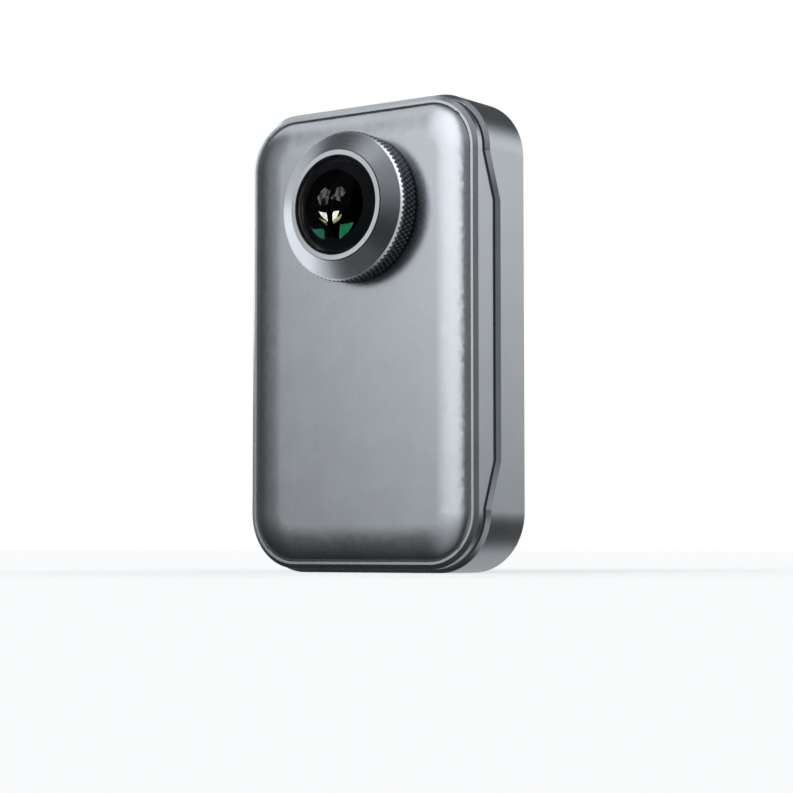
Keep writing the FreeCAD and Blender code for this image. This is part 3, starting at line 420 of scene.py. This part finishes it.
def grained(
        name, colour, roughness, metallic, grain, depth=0.002 * MM, spread=0.05, **more):
    """A material with a fine grain, a cloudy roughness and a faint change of tone."""
    material, tree, output = empty_material(name)
    shader = node(tree, "BsdfPrincipled", Metallic=metallic, **more)
    effect = use_group(tree, GROUPS["grain"], Grain=grain, Base=roughness, Spread=spread)
    tree.links.new(tinted(tree, colour, effect.outputs["Tone"]), shader.inputs["Base Color"])
    tree.links.new(effect.outputs["Roughness"], shader.inputs["Roughness"])
    tree.links.new(bump_from(tree, effect.outputs["Height"], depth), shader.inputs["Normal"])
    tree.links.new(shader.outputs["BSDF"], output.inputs["Surface"])
    return material


def turned_metal(name, colour, roughness, anisotropy, pitch, depth):
    """Metal with lathe lines round the lens axis, which draw its highlight out sideways."""
    material, tree, output = empty_material(name)
    shader = node(tree, "BsdfPrincipled", Metallic=1.0, Anisotropic=anisotropy)
    lines = use_group(tree, GROUPS["turned"], Pitch=pitch)
    effect = use_group(tree, GROUPS["grain"], Base=roughness, Spread=0.02)
    tree.links.new(tinted(tree, colour, effect.outputs["Tone"]), shader.inputs["Base Color"])
    uneven = remap(tree, lines.outputs["Mask"], 0.2, 0.8, -0.04, 0.04)
    rough = maths(tree, "ADD", effect.outputs["Roughness"], uneven, True)
    tree.links.new(rough, shader.inputs["Roughness"])
    tree.links.new(bump_from(tree, lines.outputs["Height"], depth), shader.inputs["Normal"])
    tangent = node(tree, "Tangent", direction_type="RADIAL", axis="Y")
    tree.links.new(tangent.outputs["Tangent"], shader.inputs["Tangent"])
    tree.links.new(shader.outputs["BSDF"], output.inputs["Surface"])
    return material


def knurled_metal_with_painted_shade(name, colour, roughness, radius, depth):
    """Metal with duller grooves painted dark as shade and points painted bright as a highlight, by
    the distance from the lens's axis.
    """
    material, tree, output = empty_material(name)
    shader = node(tree, "BsdfPrincipled", Metallic=1.0)
    place = node(tree, "TexCoord").outputs["Object"]
    centred = node(tree, "Mapping")
    tree.links.new(place, centred.inputs["Vector"])
    centred.inputs["Location"].default_value = (0.0, 0.0, -LENS_HEIGHT)
    centred.inputs["Scale"].default_value = (1.0, 0.0, 1.0)
    reach = node(tree, "VectorMath", operation="LENGTH")
    tree.links.new(centred.outputs["Vector"], reach.inputs[0])
    groove, point = radius - 0.9 * depth, radius - 0.35 * depth
    height = remap(tree, reach.outputs["Value"], groove, point, smooth=True)
    patchy = remap(tree, noise_at(tree, place, 2600, 2.0), 0.3, 0.7, 0.85, 1.15)
    # Painted shade and highlight: the colour falls to 0.15 of itself in the grooves and rises to
    # 1.7 on the points.
    tone = maths(tree, "MULTIPLY", remap(tree, height, 0.0, 1.0, 0.15, 1.7), patchy)
    tree.links.new(tinted(tree, colour, tone), shader.inputs["Base Color"])
    rough = remap(tree, height, 0.0, 1.0, roughness + 0.15, roughness)
    tree.links.new(rough, shader.inputs["Roughness"])
    tree.links.new(shader.outputs["BSDF"], output.inputs["Surface"])
    return material


def clear_glass(name, tint, coating):
    """Polished glass. The coating says how much of each colour its faces still reflect."""
    material, tree, output = empty_material(name)
    shader = node(tree, "BsdfPrincipled", IOR=1.55, Roughness=0.0)
    shader.inputs["Transmission Weight"].default_value = 1.0
    shader.inputs["Specular Tint"].default_value = (*coating, 1.0)
    effect = use_group(tree, GROUPS["grain"], Grain=0.5 * MM, Cloud=6 * MM)
    tree.links.new(tinted(tree, tint, effect.outputs["Tone"]), shader.inputs["Base Color"])
    tree.links.new(shader.outputs["BSDF"], output.inputs["Surface"])
    return material


GROUPS = {}
FINISHES = {}


def make_finishes(metal, glass):
    """Every material of the object, by the name of its finish."""
    GROUPS["grain"] = grain_group()
    GROUPS["turned"] = turned_group()
    grain = metal.grain_size
    FINISHES.update({
        "satin_metal": grained(
            "satin_metal", metal.body, metal.body_roughness, 1.0, grain, spread=0.03),
        "rim_wall": grained("rim_wall", metal.rim_wall, 0.6, 0.0, grain),
        "ring_cone": turned_metal("ring_cone", metal.cone, 0.26, 0.7, 0.13 * MM, 0.0012 * MM),
        "ring_knurl": knurled_metal_with_painted_shade(
            "ring_knurl", metal.knurl, 0.3, metal.knurl_radius, metal.knurl_depth),
        "ring_cut_edge": grained("ring_cut_edge", metal.cut_edge, 0.38, 1.0, grain),
        "housing_metal": grained("housing_metal", (0.20, 0.21, 0.22), 0.4, 1.0, grain),
        "bright_ring": turned_metal(
            "bright_ring", metal.retainer, 0.33, 0.3, 0.08 * MM, 0.0006 * MM),
        "lens_glass": clear_glass("lens_glass", (1.0, 1.0, 1.0), glass.coating),
        "inner_glass": clear_glass("inner_glass", glass.inner_tint, glass.inner_coating),
        "lens_black": grained(
            "lens_black", (0.033, 0.034, 0.04), 0.6, 0.0, 0.1 * MM, Specular_IOR_Level=0.04),
        "rubber": grained("rubber", (0.045, 0.047, 0.052), 0.62, 0.0, 0.15 * MM, 0.006 * MM),
        "inner_metal": grained("inner_metal", (0.55, 0.56, 0.57), 0.36, 1.0, 0.2 * MM),
        "steel": grained("steel", (0.62, 0.62, 0.63), 0.28, 1.0, 0.1 * MM),
        "circuit_board": grained("circuit_board", (0.016, 0.085, 0.045), 0.3, 0.0, 0.4 * MM),
        "ribbon": grained("ribbon", (0.45, 0.20, 0.04), 0.28, 0.0, 0.3 * MM),
        "battery_wrap": grained("battery_wrap", (0.06, 0.06, 0.07), 0.35, 0.0, 0.5 * MM),
        "tray_plastic": grained(
            "tray_plastic", (0.03, 0.03, 0.034), 0.48, 0.0, 0.12 * MM, 0.004 * MM),
        "socket_steel": grained("socket_steel", (0.60, 0.60, 0.61), 0.3, 1.0, 0.08 * MM),
        "switch_plastic": grained("switch_plastic", (0.04, 0.04, 0.04), 0.4, 0.0, 0.12 * MM),
        "button_metal": grained("button_metal", metal.body, 0.26, 1.0, grain),
        "light_pipe": grained("light_pipe", (0.62, 0.66, 0.70), 0.22, 0.0, 0.2 * MM),
    })


# Mesh helpers


def finish_piece(mesh, name, body, slot, finishes, replaced, sharp=SHARP_ANGLE):
    """Makes an object of a bmesh, fixes it to its body and hides the nodes that it takes the place
    of.
    """
    data = bpy.data.meshes.new(name)
    mesh.to_mesh(data)
    mesh.free()
    data.shade_smooth()
    data.set_sharp_from_angle(angle=math.radians(sharp))
    for finish in finishes:
        data.materials.append(FINISHES[finish])
    piece = bpy.data.objects.new(name, data)
    bpy.context.scene.collection.objects.link(piece)
    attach(piece, body)
    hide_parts(*replaced)
    return piece


def merged_copy(name):
    """A node's mesh with its triangles joined, and its flat faces whole again."""
    mesh = bmesh.new()
    mesh.from_mesh(frame["nodes"][name].data)
    bmesh.ops.remove_doubles(mesh, verts=mesh.verts, dist=WELD_GAP)
    bmesh.ops.dissolve_limit(
        mesh, angle_limit=math.radians(0.2), verts=mesh.verts, edges=mesh.edges)
    return mesh


def soften(mesh, width):
    """Rounds every edge of a body piece that is sharp."""
    limit = math.radians(SHARP_ANGLE)
    edges = [edge for edge in mesh.edges if edge.is_manifold and edge.calc_face_angle() > limit]
    bmesh.ops.bevel(
        mesh, geom=edges, offset=width, offset_type="OFFSET", segments=2,
        profile=0.5, affect="EDGES", clamp_overlap=True, material=-1)


def weight_normals(piece):
    """Lets the large faces keep their own direction beside the small bevels."""
    modifier = piece.modifiers.new("even_shading", "WEIGHTED_NORMAL")
    modifier.keep_sharp = True
    modifier.weight = 80


def lens_place(side):
    """The matrix that turns a lens built about Z, with its face up, to the front or the rear."""
    upright = Matrix.Rotation(math.pi / 2, 4, "X")
    turned = Matrix.Rotation(math.pi if side == "rear" else 0.0, 4, "Z")
    return Matrix.Translation((0, 0, LENS_HEIGHT)) @ turned @ upright


def spun(mesh, profile, segments):
    """Spins a closed half profile of (radius, out) points a full turn about Z."""
    corners = [mesh.verts.new((radius, 0, out)) for radius, out in profile]
    edges = [mesh.edges.new(pair) for pair in zip(corners, corners[1:] + corners[:1])]
    bmesh.ops.spin(
        mesh, geom=corners + edges, cent=(0, 0, 0), axis=(0, 0, 1), angle=2 * math.pi,
        steps=segments, use_merge=True, use_duplicate=False)
    bmesh.ops.remove_doubles(mesh, verts=mesh.verts, dist=SPIN_GAP)


def arc(ball, top, edge, steps, inward=False):
    """Points of a dome from its crown to its edge, as (radius, out)."""
    middle = top - ball
    half = math.asin(edge / ball)
    points = []
    for step in range(steps + 1):
        angle = half * step / steps
        points.append((ball * math.sin(angle), middle + ball * math.cos(angle)))
    return points[::-1] if inward else points


def lens_piece(mesh, side, name, *declared, **settings):
    """Closes a spun piece, turns it to its lens and finishes it."""
    bmesh.ops.recalc_face_normals(mesh, faces=mesh.faces)
    mesh.transform(lens_place(side))
    finish_piece(mesh, side + "_" + name, *declared, **settings)


# Pieces


class DressBody(bpy.types.Operator):
    """Gives the frame, shell and panels their soft edges and satin finish."""

    bl_idname = "pocket_camera.dress_body"
    bl_label = "Dress the body"

    def execute(self, context):
        metal = context.scene.camera_metal
        for name in ("front_panel", "front_frame", "rear_shell", "rear_panel"):
            mesh = merged_copy(name)
            soften(mesh, metal.soft_edge)
            mark_rim_wall(mesh)
            finishes = ["satin_metal", "rim_wall"]
            piece = finish_piece(mesh, name + "_skin", BODY, "satin_metal", finishes, [name])
            weight_normals(piece)
        return {"FINISHED"}


def mark_rim_wall(mesh):
    """Gives the wall inside each end's rim, beside the panel, its duller finish."""
    rim = max(abs(vert.co.y) for vert in mesh.verts)
    middle = BODY_HEIGHT / 2
    for face in mesh.faces:
        place, facing = face.calc_center_median(), face.normal
        inward = facing.x * place.x + facing.z * (place.z - middle) < 0
        if inward and abs(facing.y) < RIM_WALL_FACING and abs(place.y) > rim - RIM_WALL_DEPTH:
            face.material_index = 1


def dome_glass(side, glass):
    """The outer glass: a ball cap outside, a smaller one inside, and a flat rim."""
    mesh = bmesh.new()
    top = out_of("front_dome_glass")
    inner_ball = glass.dome_radius - glass.dome_thick
    inner_edge = glass.dome_edge * DOME_INNER_SHARE
    outer = arc(glass.dome_radius, top, glass.dome_edge, DOME_STEPS)
    inner = arc(inner_ball, top - glass.dome_thick, inner_edge, DOME_STEPS, True)
    low = inner[0][1] - DOME_RIM_DEPTH
    rim = [(glass.dome_edge, low), (inner_edge + DOME_RIM_WIDTH, low)]
    spun(mesh, outer + rim + inner, glass.segments)
    name = side + "_dome_glass"
    lens_piece(mesh, side, "dome", BODY, "lens_glass", ["lens_glass"], [name])


def lens_hood(side, glass):
    """The black ring under the glass, which follows its curve, with fine steps down its throat."""
    mesh = bmesh.new()
    bore, edge = glass.hood_bore, glass.dome_edge - HOOD_SIDE_GAP
    ball = glass.dome_radius - glass.dome_thick - HOOD_GLASS_GAP
    middle = out_of("front_dome_glass") - glass.dome_radius
    reach = [edge + (bore - edge) * step / HOOD_STEPS for step in range(HOOD_STEPS + 1)]
    cap = [(radius, middle + math.sqrt(ball ** 2 - radius ** 2)) for radius in reach]
    profile = [(edge, cap[0][1] - HOOD_SKIRT), *cap]
    for step in range(glass.rib_count):
        level = cap[-1][1] - step * glass.rib_step
        profile.append((bore, level - RIB_RISE_SHARE * glass.rib_step))
        profile.append((bore - RIB_RELIEF, level - glass.rib_step))
    profile.append((bore + THROAT_WIDTH, profile[-1][1]))
    spun(mesh, profile, glass.segments)
    name = side + "_lens_hood"
    lens_piece(mesh, side, "hood", BODY, "lens_black", ["lens_black"], [name], sharp=20.0)


class BuildOptics(bpy.types.Operator):
    """Builds the glass and the black ring of both lenses."""

    bl_idname = "pocket_camera.build_optics"
    bl_label = "Build the optics"

    def execute(self, context):
        glass = context.scene.camera_glass
        for side in LENS_RINGS:
            dome_glass(side, glass)
            lens_hood(side, glass)
        return {"FINISHED"}


class BuildRings(bpy.types.Operator):
    """Builds both lock rings: a turned cone, a diamond knurl and a bright cut front edge."""

    bl_idname = "pocket_camera.build_rings"
    bl_label = "Build the lock rings"

    def execute(self, context):
        metal = context.scene.camera_metal
        for side, body in LENS_RINGS.items():
            name = side + "_lock_ring"
            mesh = merged_copy(name)
            mesh.transform(lens_place(side).inverted())
            sleeve = ring_sleeve(metal)
            mesh.from_mesh(sleeve)
            bpy.data.meshes.remove(sleeve)
            bmesh.ops.recalc_face_normals(mesh, faces=mesh.faces)
            mesh.transform(lens_place(side))
            finish_piece(mesh, name + "_skin", body, "ring_metal", RING_FINISHES, [name], 18.0)
        return {"FINISHED"}


def ring_sleeve(metal):
    """The ring's outside as mesh data, over the node's own lugs and bore. Every second crossing of
    the rows and columns is pressed in, so that pointed diamonds stay between the grooves."""
    mesh = bmesh.new()
    first = metal.knurl_front - metal.cut_width
    row = (first - RING_FOOT - RING_PLAIN_BAND) / metal.knurl_rows
    rows = [(metal.knurl_radius, first - number * row) for number in range(metal.knurl_rows + 1)]
    profile = [
        (RING_LIP, RING_TOP), (metal.cone_edge, metal.knurl_front), *rows,
        (metal.cone_edge, RING_FOOT), (RING_INSIDE, RING_FOOT), (RING_INSIDE, RING_INNER_STEP),
        (RING_LIP, RING_LIP_BACK),
    ]
    spun(mesh, profile, 2 * metal.knurl_teeth)
    points = []
    for vert in mesh.verts:
        radius = math.hypot(vert.co.x, vert.co.y)
        if radius < metal.cone_edge + POINT_SLACK:
            continue
        number = round((first - vert.co.z) / row)
        column = round(math.atan2(vert.co.y, vert.co.x) / math.pi * metal.knurl_teeth)
        if (number + column) % 2 == 0:
            points += [vert] if number else []
        elif number:
            vert.co.xy *= 1 - metal.knurl_depth / radius
        else:
            vert.co.xy *= (metal.cone_edge + NOTCH_SHARE * (radius - metal.cone_edge)) / radius
            vert.co.z = metal.knurl_front - NOTCH_SHARE * metal.cut_width
    side = [face for face in mesh.faces if ring_radius(face) > metal.cone_edge - RING_SLACK]
    bmesh.ops.triangulate(mesh, faces=side, quad_method="SHORT_EDGE", ngon_method="BEAUTY")
    bmesh.ops.bevel(
        mesh, geom=points, offset=metal.knurl_flat, offset_type="OFFSET", segments=1,
        profile=0.5, affect="VERTICES", clamp_overlap=True, material=-1)
    for face in mesh.faces:
        if ring_radius(face) > metal.cone_edge - RING_SLACK:
            cut = face.calc_center_median().z > first + CUT_OVERLAP
            face.material_index = RING_FINISHES.index("ring_cut_edge" if cut else "ring_knurl")
    data = bpy.data.meshes.new("sleeve")
    mesh.to_mesh(data)
    mesh.free()
    return data


def ring_radius(face):
    """How far a face's middle is from the lens's axis."""
    middle = face.calc_center_median()
    return math.hypot(middle.x, middle.y)


class DressNodes(bpy.types.Operator):
    """Gives every piece that keeps its shape the finish of its own material."""

    bl_idname = "pocket_camera.dress_nodes"
    bl_label = "Dress the plain pieces"

    def execute(self, context):
        for entry in frame["record"]["subparts"]:
            name, slot = entry["node"], entry["material_slot"]
            finish = {"ring_metal": "ring_cone"}.get(slot, slot)
            if name.endswith("inner_lenses"):
                finish = "inner_glass"
            data = frame["nodes"][name].data
            data.materials.clear()
            data.materials.append(FINISHES[finish])
        return {"FINISHED"}


# Stage


class BuildStudio(bpy.types.Operator):
    """Adds the pale floor, the soft lights and the camera."""

    bl_idname = "pocket_camera.build_studio"
    bl_label = "Build the studio"

    def execute(self, context):
        studio = context.scene.camera_studio
        build_floor(studio)
        build_world(studio)
        build_cards(studio)
        build_camera(studio)
        context.scene.view_settings.view_transform = "Standard"
        return {"FINISHED"}


def build_floor(studio):
    """A wide pale floor that the metal doesn't mirror, with a painted shadow round the object."""
    mesh = bmesh.new()
    bmesh.ops.create_grid(mesh, x_segments=1, y_segments=1, size=3.0)
    data = bpy.data.meshes.new("floor")
    mesh.to_mesh(data)
    mesh.free()
    material, tree, output = empty_material("pale_floor")
    shader = node(tree, "BsdfPrincipled", Roughness=0.9)
    place = node(tree, "TexCoord").outputs["Object"]
    reach = node(tree, "VectorMath", operation="LENGTH")
    tree.links.new(place, reach.inputs[0])
    # Painted shadow: the floor's colour and glow are darker within about 0.13 m of the object.
    shade = remap(tree, reach.outputs["Value"], 0.02, 0.13, studio.floor_painted_shadow, 1.0, True)
    tree.links.new(tinted(tree, (0.8, 0.8, 0.8), shade), shader.inputs["Base Color"])
    tree.links.new(tinted(tree, (1.0, 1.0, 1.0), shade), shader.inputs["Emission Color"])
    shader.inputs["Emission Strength"].default_value = studio.floor_glow
    tree.links.new(shader.outputs["BSDF"], output.inputs["Surface"])
    data.materials.append(material)
    floor = bpy.data.objects.new("floor", data)
    bpy.context.scene.collection.objects.link(floor)
    floor.visible_glossy = False
    floor.visible_shadow = False
    floor.visible_transmission = False


def towards(azimuth, elevation):
    """The unit vector of a direction: azimuth 0 is straight in front, and positive to the right."""
    turn = math.radians(azimuth)
    rise = math.radians(elevation)
    level = math.cos(rise)
    return Vector((math.sin(turn) * level, -math.cos(turn) * level, math.sin(rise)))


def tall_light(tree, ray, rise, azimuth, inner, outer, low, high, strength):
    """A soft light that stands upright: full within one angle from its middle, gone at another.
    It fades in between two heights above the horizon."""
    flat = node(tree, "VectorMath", operation="MULTIPLY")
    tree.links.new(ray, flat.inputs[0])
    flat.inputs[1].default_value = (1.0, 1.0, 0.0)
    level = node(tree, "VectorMath", operation="NORMALIZE")
    tree.links.new(flat.outputs["Vector"], level.inputs[0])
    facing = facing_of(tree, level.outputs["Vector"], azimuth, 0)
    edge, full = (math.cos(math.radians(angle)) for angle in (outer, inner))
    mask = remap(tree, facing, edge, full, smooth=True)
    bottom, top = (math.sin(math.radians(angle)) for angle in (low, high))
    fade = remap(tree, rise, bottom, top, smooth=True)
    return maths(tree, "MULTIPLY", maths(tree, "MULTIPLY", mask, fade), strength)


def facing_of(tree, ray, azimuth, elevation):
    """How directly a ray points in a direction, from -1 to 1."""
    dot = node(tree, "VectorMath", operation="DOT_PRODUCT")
    tree.links.new(ray, dot.inputs[0])
    dot.inputs[1].default_value = towards(azimuth, elevation)
    return dot.outputs["Value"]


# Soft lights round the studio: the share of the softbox's brightness; the heights between which
# the light fades out towards its top, as sines; the azimuth of its middle; the angles from there
# within which it is full and beyond which it is gone; and the angles of height between which it
# fades in
TALL_LIGHTS = {
    "rear_wall": (0.34, (0.42, 0.12), -150, 35, 50, -80, -55),
    "low_wall": (0.3, (-0.05, -0.2), 86, 42, 54, -80, -55),
    "front_softbox": (1.0, (0.87, 0.62), -18.4, 16.5, 20, -11, 14),
    "back_softbox": (0.63, (0.6, 0.35), 141, 25, 33, -12, 16),
    "low_front": (0.3, None, -13, 8, 20, -58, -8),
    "right_wall": (0.24, None, 45, 28, 56, -8, 32),
    "left_strip": (0.15, (0.5, 0.25), -47, 9, 15, -11, 14),
}


def build_world(studio):
    """White for the camera, and soft lights in a dim room for everything else."""
    world = bpy.data.worlds.new("studio")
    bpy.context.scene.world = world
    world.use_nodes = True
    tree = world.node_tree
    tree.nodes.clear()
    ray = node(tree, "TexCoord").outputs["Generated"]
    split = node(tree, "SeparateXYZ")
    tree.links.new(ray, split.inputs["Vector"])
    rise = split.outputs["Z"]
    total = remap(tree, rise, -0.35, 0.2, studio.room * 0.35, studio.room, True)
    for share, top, *placing in TALL_LIGHTS.values():
        light = tall_light(tree, ray, rise, *placing, studio.softbox * share)
        if top:
            light = maths(tree, "MULTIPLY", light, remap(tree, rise, *top, smooth=True))
        total = maths(tree, "ADD", total, light)
    # Polished glass, which mirrors without any blur, sees a darker room than the satin metal does.
    # Light that a dull surface has scattered, such as the black ring's, is dimmed less.
    path = node(tree, "LightPath")
    dark = remap(tree, path.outputs["Diffuse Depth"], 0, 1, 1 - studio.glass_room, 0.7)
    dimmed = maths(tree, "MULTIPLY", path.outputs["Is Singular Ray"], dark)
    seen = maths(tree, "SUBTRACT", 1.0, dimmed)
    glow = node(tree, "Background")
    glow.inputs["Color"].default_value = (*studio.light_colour, 1.0)
    tree.links.new(maths(tree, "MULTIPLY", total, seen), glow.inputs["Strength"])
    backdrop = node(tree, "Background", Strength=1.0)
    backdrop.inputs["Color"].default_value = (1.0, 1.0, 1.0, 1.0)
    mix = node(tree, "MixShader")
    tree.links.new(path.outputs["Is Camera Ray"], mix.inputs["Fac"])
    tree.links.new(glow.outputs["Background"], mix.inputs[1])
    tree.links.new(backdrop.outputs["Background"], mix.inputs[2])
    output = node(tree, "OutputWorld")
    tree.links.new(mix.outputs["Shader"], output.inputs["Surface"])


def only_for(light, name, pieces):
    """Lets a light reach some pieces alone."""
    group = bpy.data.collections.new(name)
    for piece in pieces:
        group.objects.link(piece)
    light.light_linking.receiver_collection = group


def card(name, azimuth, elevation, width, height, power, colour):
    """A flat light at a direction from the front lens, facing it. Its power is its brightness."""
    data = bpy.data.lights.new(name, "AREA")
    data.shape = "RECTANGLE"
    data.size = width
    data.size_y = height
    data.color = colour
    data.energy = power * math.pi * width * height
    light = bpy.data.objects.new(name, data)
    direction = towards(azimuth, elevation)
    light.location = Vector((0, 0, LENS_HEIGHT)) + direction * LIGHT_DISTANCE
    light.rotation_euler = direction.to_track_quat("Z", "Y").to_euler()
    light.visible_camera = False
    light.visible_transmission = False
    bpy.context.scene.collection.objects.link(light)
    return light


def build_cards(studio):
    """Small lights, each for the pieces that it is named for."""
    colour = studio.light_colour
    rings = pieces_named("lock_ring_skin", "glass_retainer")
    body = pieces_named("frame_skin", "shell_skin")
    panels = pieces_named("panel_skin")
    plans = (
        ("left_card", -89, -7, 0.24, 0.28, studio.left_card * 0.85, rings),
        ("low_left_card", -76, -36, 0.26, 0.24, studio.left_card * 0.55, rings),
        ("high_left_card", -99, 28, 0.2, 0.2, studio.left_card * 0.45, rings),
        ("right_card", 80, 36, 0.14, 0.75, studio.right_card, rings),
        ("low_right_card", 86, -52, 0.14, 0.3, studio.right_card * 0.4, rings),
        ("edge_card", -94, 20, 0.18, 0.28, studio.frame_card, body),
        ("crown_card", -62, 48, 0.3, 0.24, studio.crown_card, body + panels),
    )
    for name, azimuth, elevation, width, height, power, pieces in plans:
        light = card(name, azimuth, elevation, width, height, power, colour)
        only_for(light, name + "_pieces", pieces)
    for name, plan in GLINTS.items():
        only_for(glint(name, *plan), name + "_pieces", pieces_named("_dome"))


# Panes of the studio that the outer glass mirrors: colour, brightness, unevenness and the
# directions of the corners
GLINTS = {
    "warm_left": (
        (1.0, 0.9, 0.86), 18, 0.2, ((-50, 1.5), (-35, -2.5), (-35, -11.5), (-41, -7))),
    "warm_right": (
        (1.0, 0.92, 0.9), 22, 0.2, ((-25, -2.5), (-15, -1.5), (-20, -10.5), (-28.5, -12))),
    "straw_left": ((0.62, 0.7, 0.3), 8, 0.3, ((-51, -4.5), (-37, -11), (-39, -14.5))),
    "straw_right": (
        (0.7, 0.76, 0.36), 11, 0.3,
        ((-12, -6), (-20, -10), (-27, -12), (-28, -16), (-15.5, -12.5))),
    "green_left": (
        (0.12, 0.85, 0.55), 2.4, 0.3, ((-69, -11), (-45.5, -17), (-53, -27), (-64, -19))),
    "green_right": (
        (0.09, 0.95, 0.42), 3.8, 0.3, ((-17, -19), (4, -18.5), (-8, -30), (-28, -34.5))),
    "mist_left": (
        (1.0, 0.99, 0.96), 1.4, 2.0, ((-54, 15), (-45, 25), (-32, 22), (-33, 8), (-44, 5))),
    "mist_right": (
        (1.0, 0.98, 0.93), 1.4, 2.0, ((-29, 13), (-27, 23), (-17, 28), (-7, 21), (-13, 9))),
}


def glint(name, tint, power, uneven, corners):
    """A bright pane that only a mirrored ray sees. Its corners are directions from the lens."""
    mesh = bmesh.new()
    middle = Vector((0, 0, LENS_HEIGHT))
    places = [middle + towards(*corner) * LIGHT_DISTANCE for corner in corners]
    mesh.faces.new([mesh.verts.new(place) for place in places])
    data = bpy.data.meshes.new(name)
    mesh.to_mesh(data)
    mesh.free()
    material, tree, output = empty_material(name)
    shader = node(tree, "Emission")
    shader.inputs["Color"].default_value = (*tint, 1.0)
    path = node(tree, "LightPath")
    first = maths(tree, "LESS_THAN", path.outputs["Ray Depth"], 1.5)
    mirrored = maths(tree, "MULTIPLY", first, path.outputs["Is Singular Ray"])
    place = node(tree, "TexCoord").outputs["Object"]
    patches = remap(tree, noise_at(tree, place, 28, 3.0), 0.4, 0.6, 1 - uneven / 2, 1 + uneven / 2)
    tree.links.new(maths(tree, "MULTIPLY", patches, power), shader.inputs["Strength"])
    mix = node(tree, "MixShader")
    tree.links.new(mirrored, mix.inputs["Fac"])
    tree.links.new(node(tree, "BsdfTransparent").outputs["BSDF"], mix.inputs[1])
    tree.links.new(shader.outputs["Emission"], mix.inputs[2])
    tree.links.new(mix.outputs["Shader"], output.inputs["Surface"])
    data.materials.append(material)
    pane = bpy.data.objects.new(name, data)
    bpy.context.scene.collection.objects.link(pane)
    pane.visible_camera = False
    pane.visible_diffuse = False
    pane.visible_transmission = False
    pane.visible_shadow = False
    return pane


def pieces_named(*endings):
    """The objects whose names end in one of these words."""
    return [piece for piece in bpy.data.objects if piece.name.endswith(endings)]


def build_camera(studio):
    """The camera at the photograph's place."""
    data = bpy.data.cameras.new("view")
    data.lens = studio.camera_lens
    data.clip_start = 0.01
    camera = bpy.data.objects.new("view", data)
    turn = studio.camera_turn
    camera.location = (
        studio.camera_distance * math.sin(turn),
        -studio.camera_distance * math.cos(turn),
        studio.camera_height,
    )
    camera.rotation_euler = Euler((math.pi / 2 + studio.camera_pitch, 0, studio.camera_yaw))
    bpy.context.scene.collection.objects.link(camera)
    bpy.context.scene.camera = camera


# Panel and running order


STEPS = (DressNodes, DressBody, BuildRings, BuildOptics, BuildStudio)


class CameraPanel(bpy.types.Panel):
    """Lists the steps and their settings."""

    bl_label = "Pocket camera"
    bl_idname = "VIEW3D_PT_pocket_camera"
    bl_space_type = "VIEW_3D"
    bl_region_type = "UI"
    bl_category = "Camera"

    def draw(self, context):
        layout = self.layout
        for step in STEPS:
            layout.operator(step.bl_idname)
        for group in (getattr(context.scene, name) for name in SETTINGS):
            for name in group.bl_rna.properties.keys():
                if name not in ("rna_type", "name"):
                    layout.prop(group, name)


SETTINGS = {
    "camera_metal": MetalSettings,
    "camera_glass": GlassSettings,
    "camera_studio": StudioSettings,
}


def register():
    """Adds the settings, operators and panel."""
    for kind in (*SETTINGS.values(), *STEPS, CameraPanel):
        bpy.utils.register_class(kind)
    for name, kind in SETTINGS.items():
        setattr(bpy.types.Scene, name, bpy.props.PointerProperty(type=kind))


def unregister():
    """Takes them away again."""
    for name in SETTINGS:
        delattr(bpy.types.Scene, name)
    for kind in (CameraPanel, *reversed(STEPS), *reversed(list(SETTINGS.values()))):
        bpy.utils.unregister_class(kind)


def main():
    """Runs every step in order."""
    register()
    make_finishes(bpy.context.scene.camera_metal, bpy.context.scene.camera_glass)
    for step in STEPS:
        group, name = step.bl_idname.split(".")
        getattr(getattr(bpy.ops, group), name)()


if __name__ == "__main__":
    main()
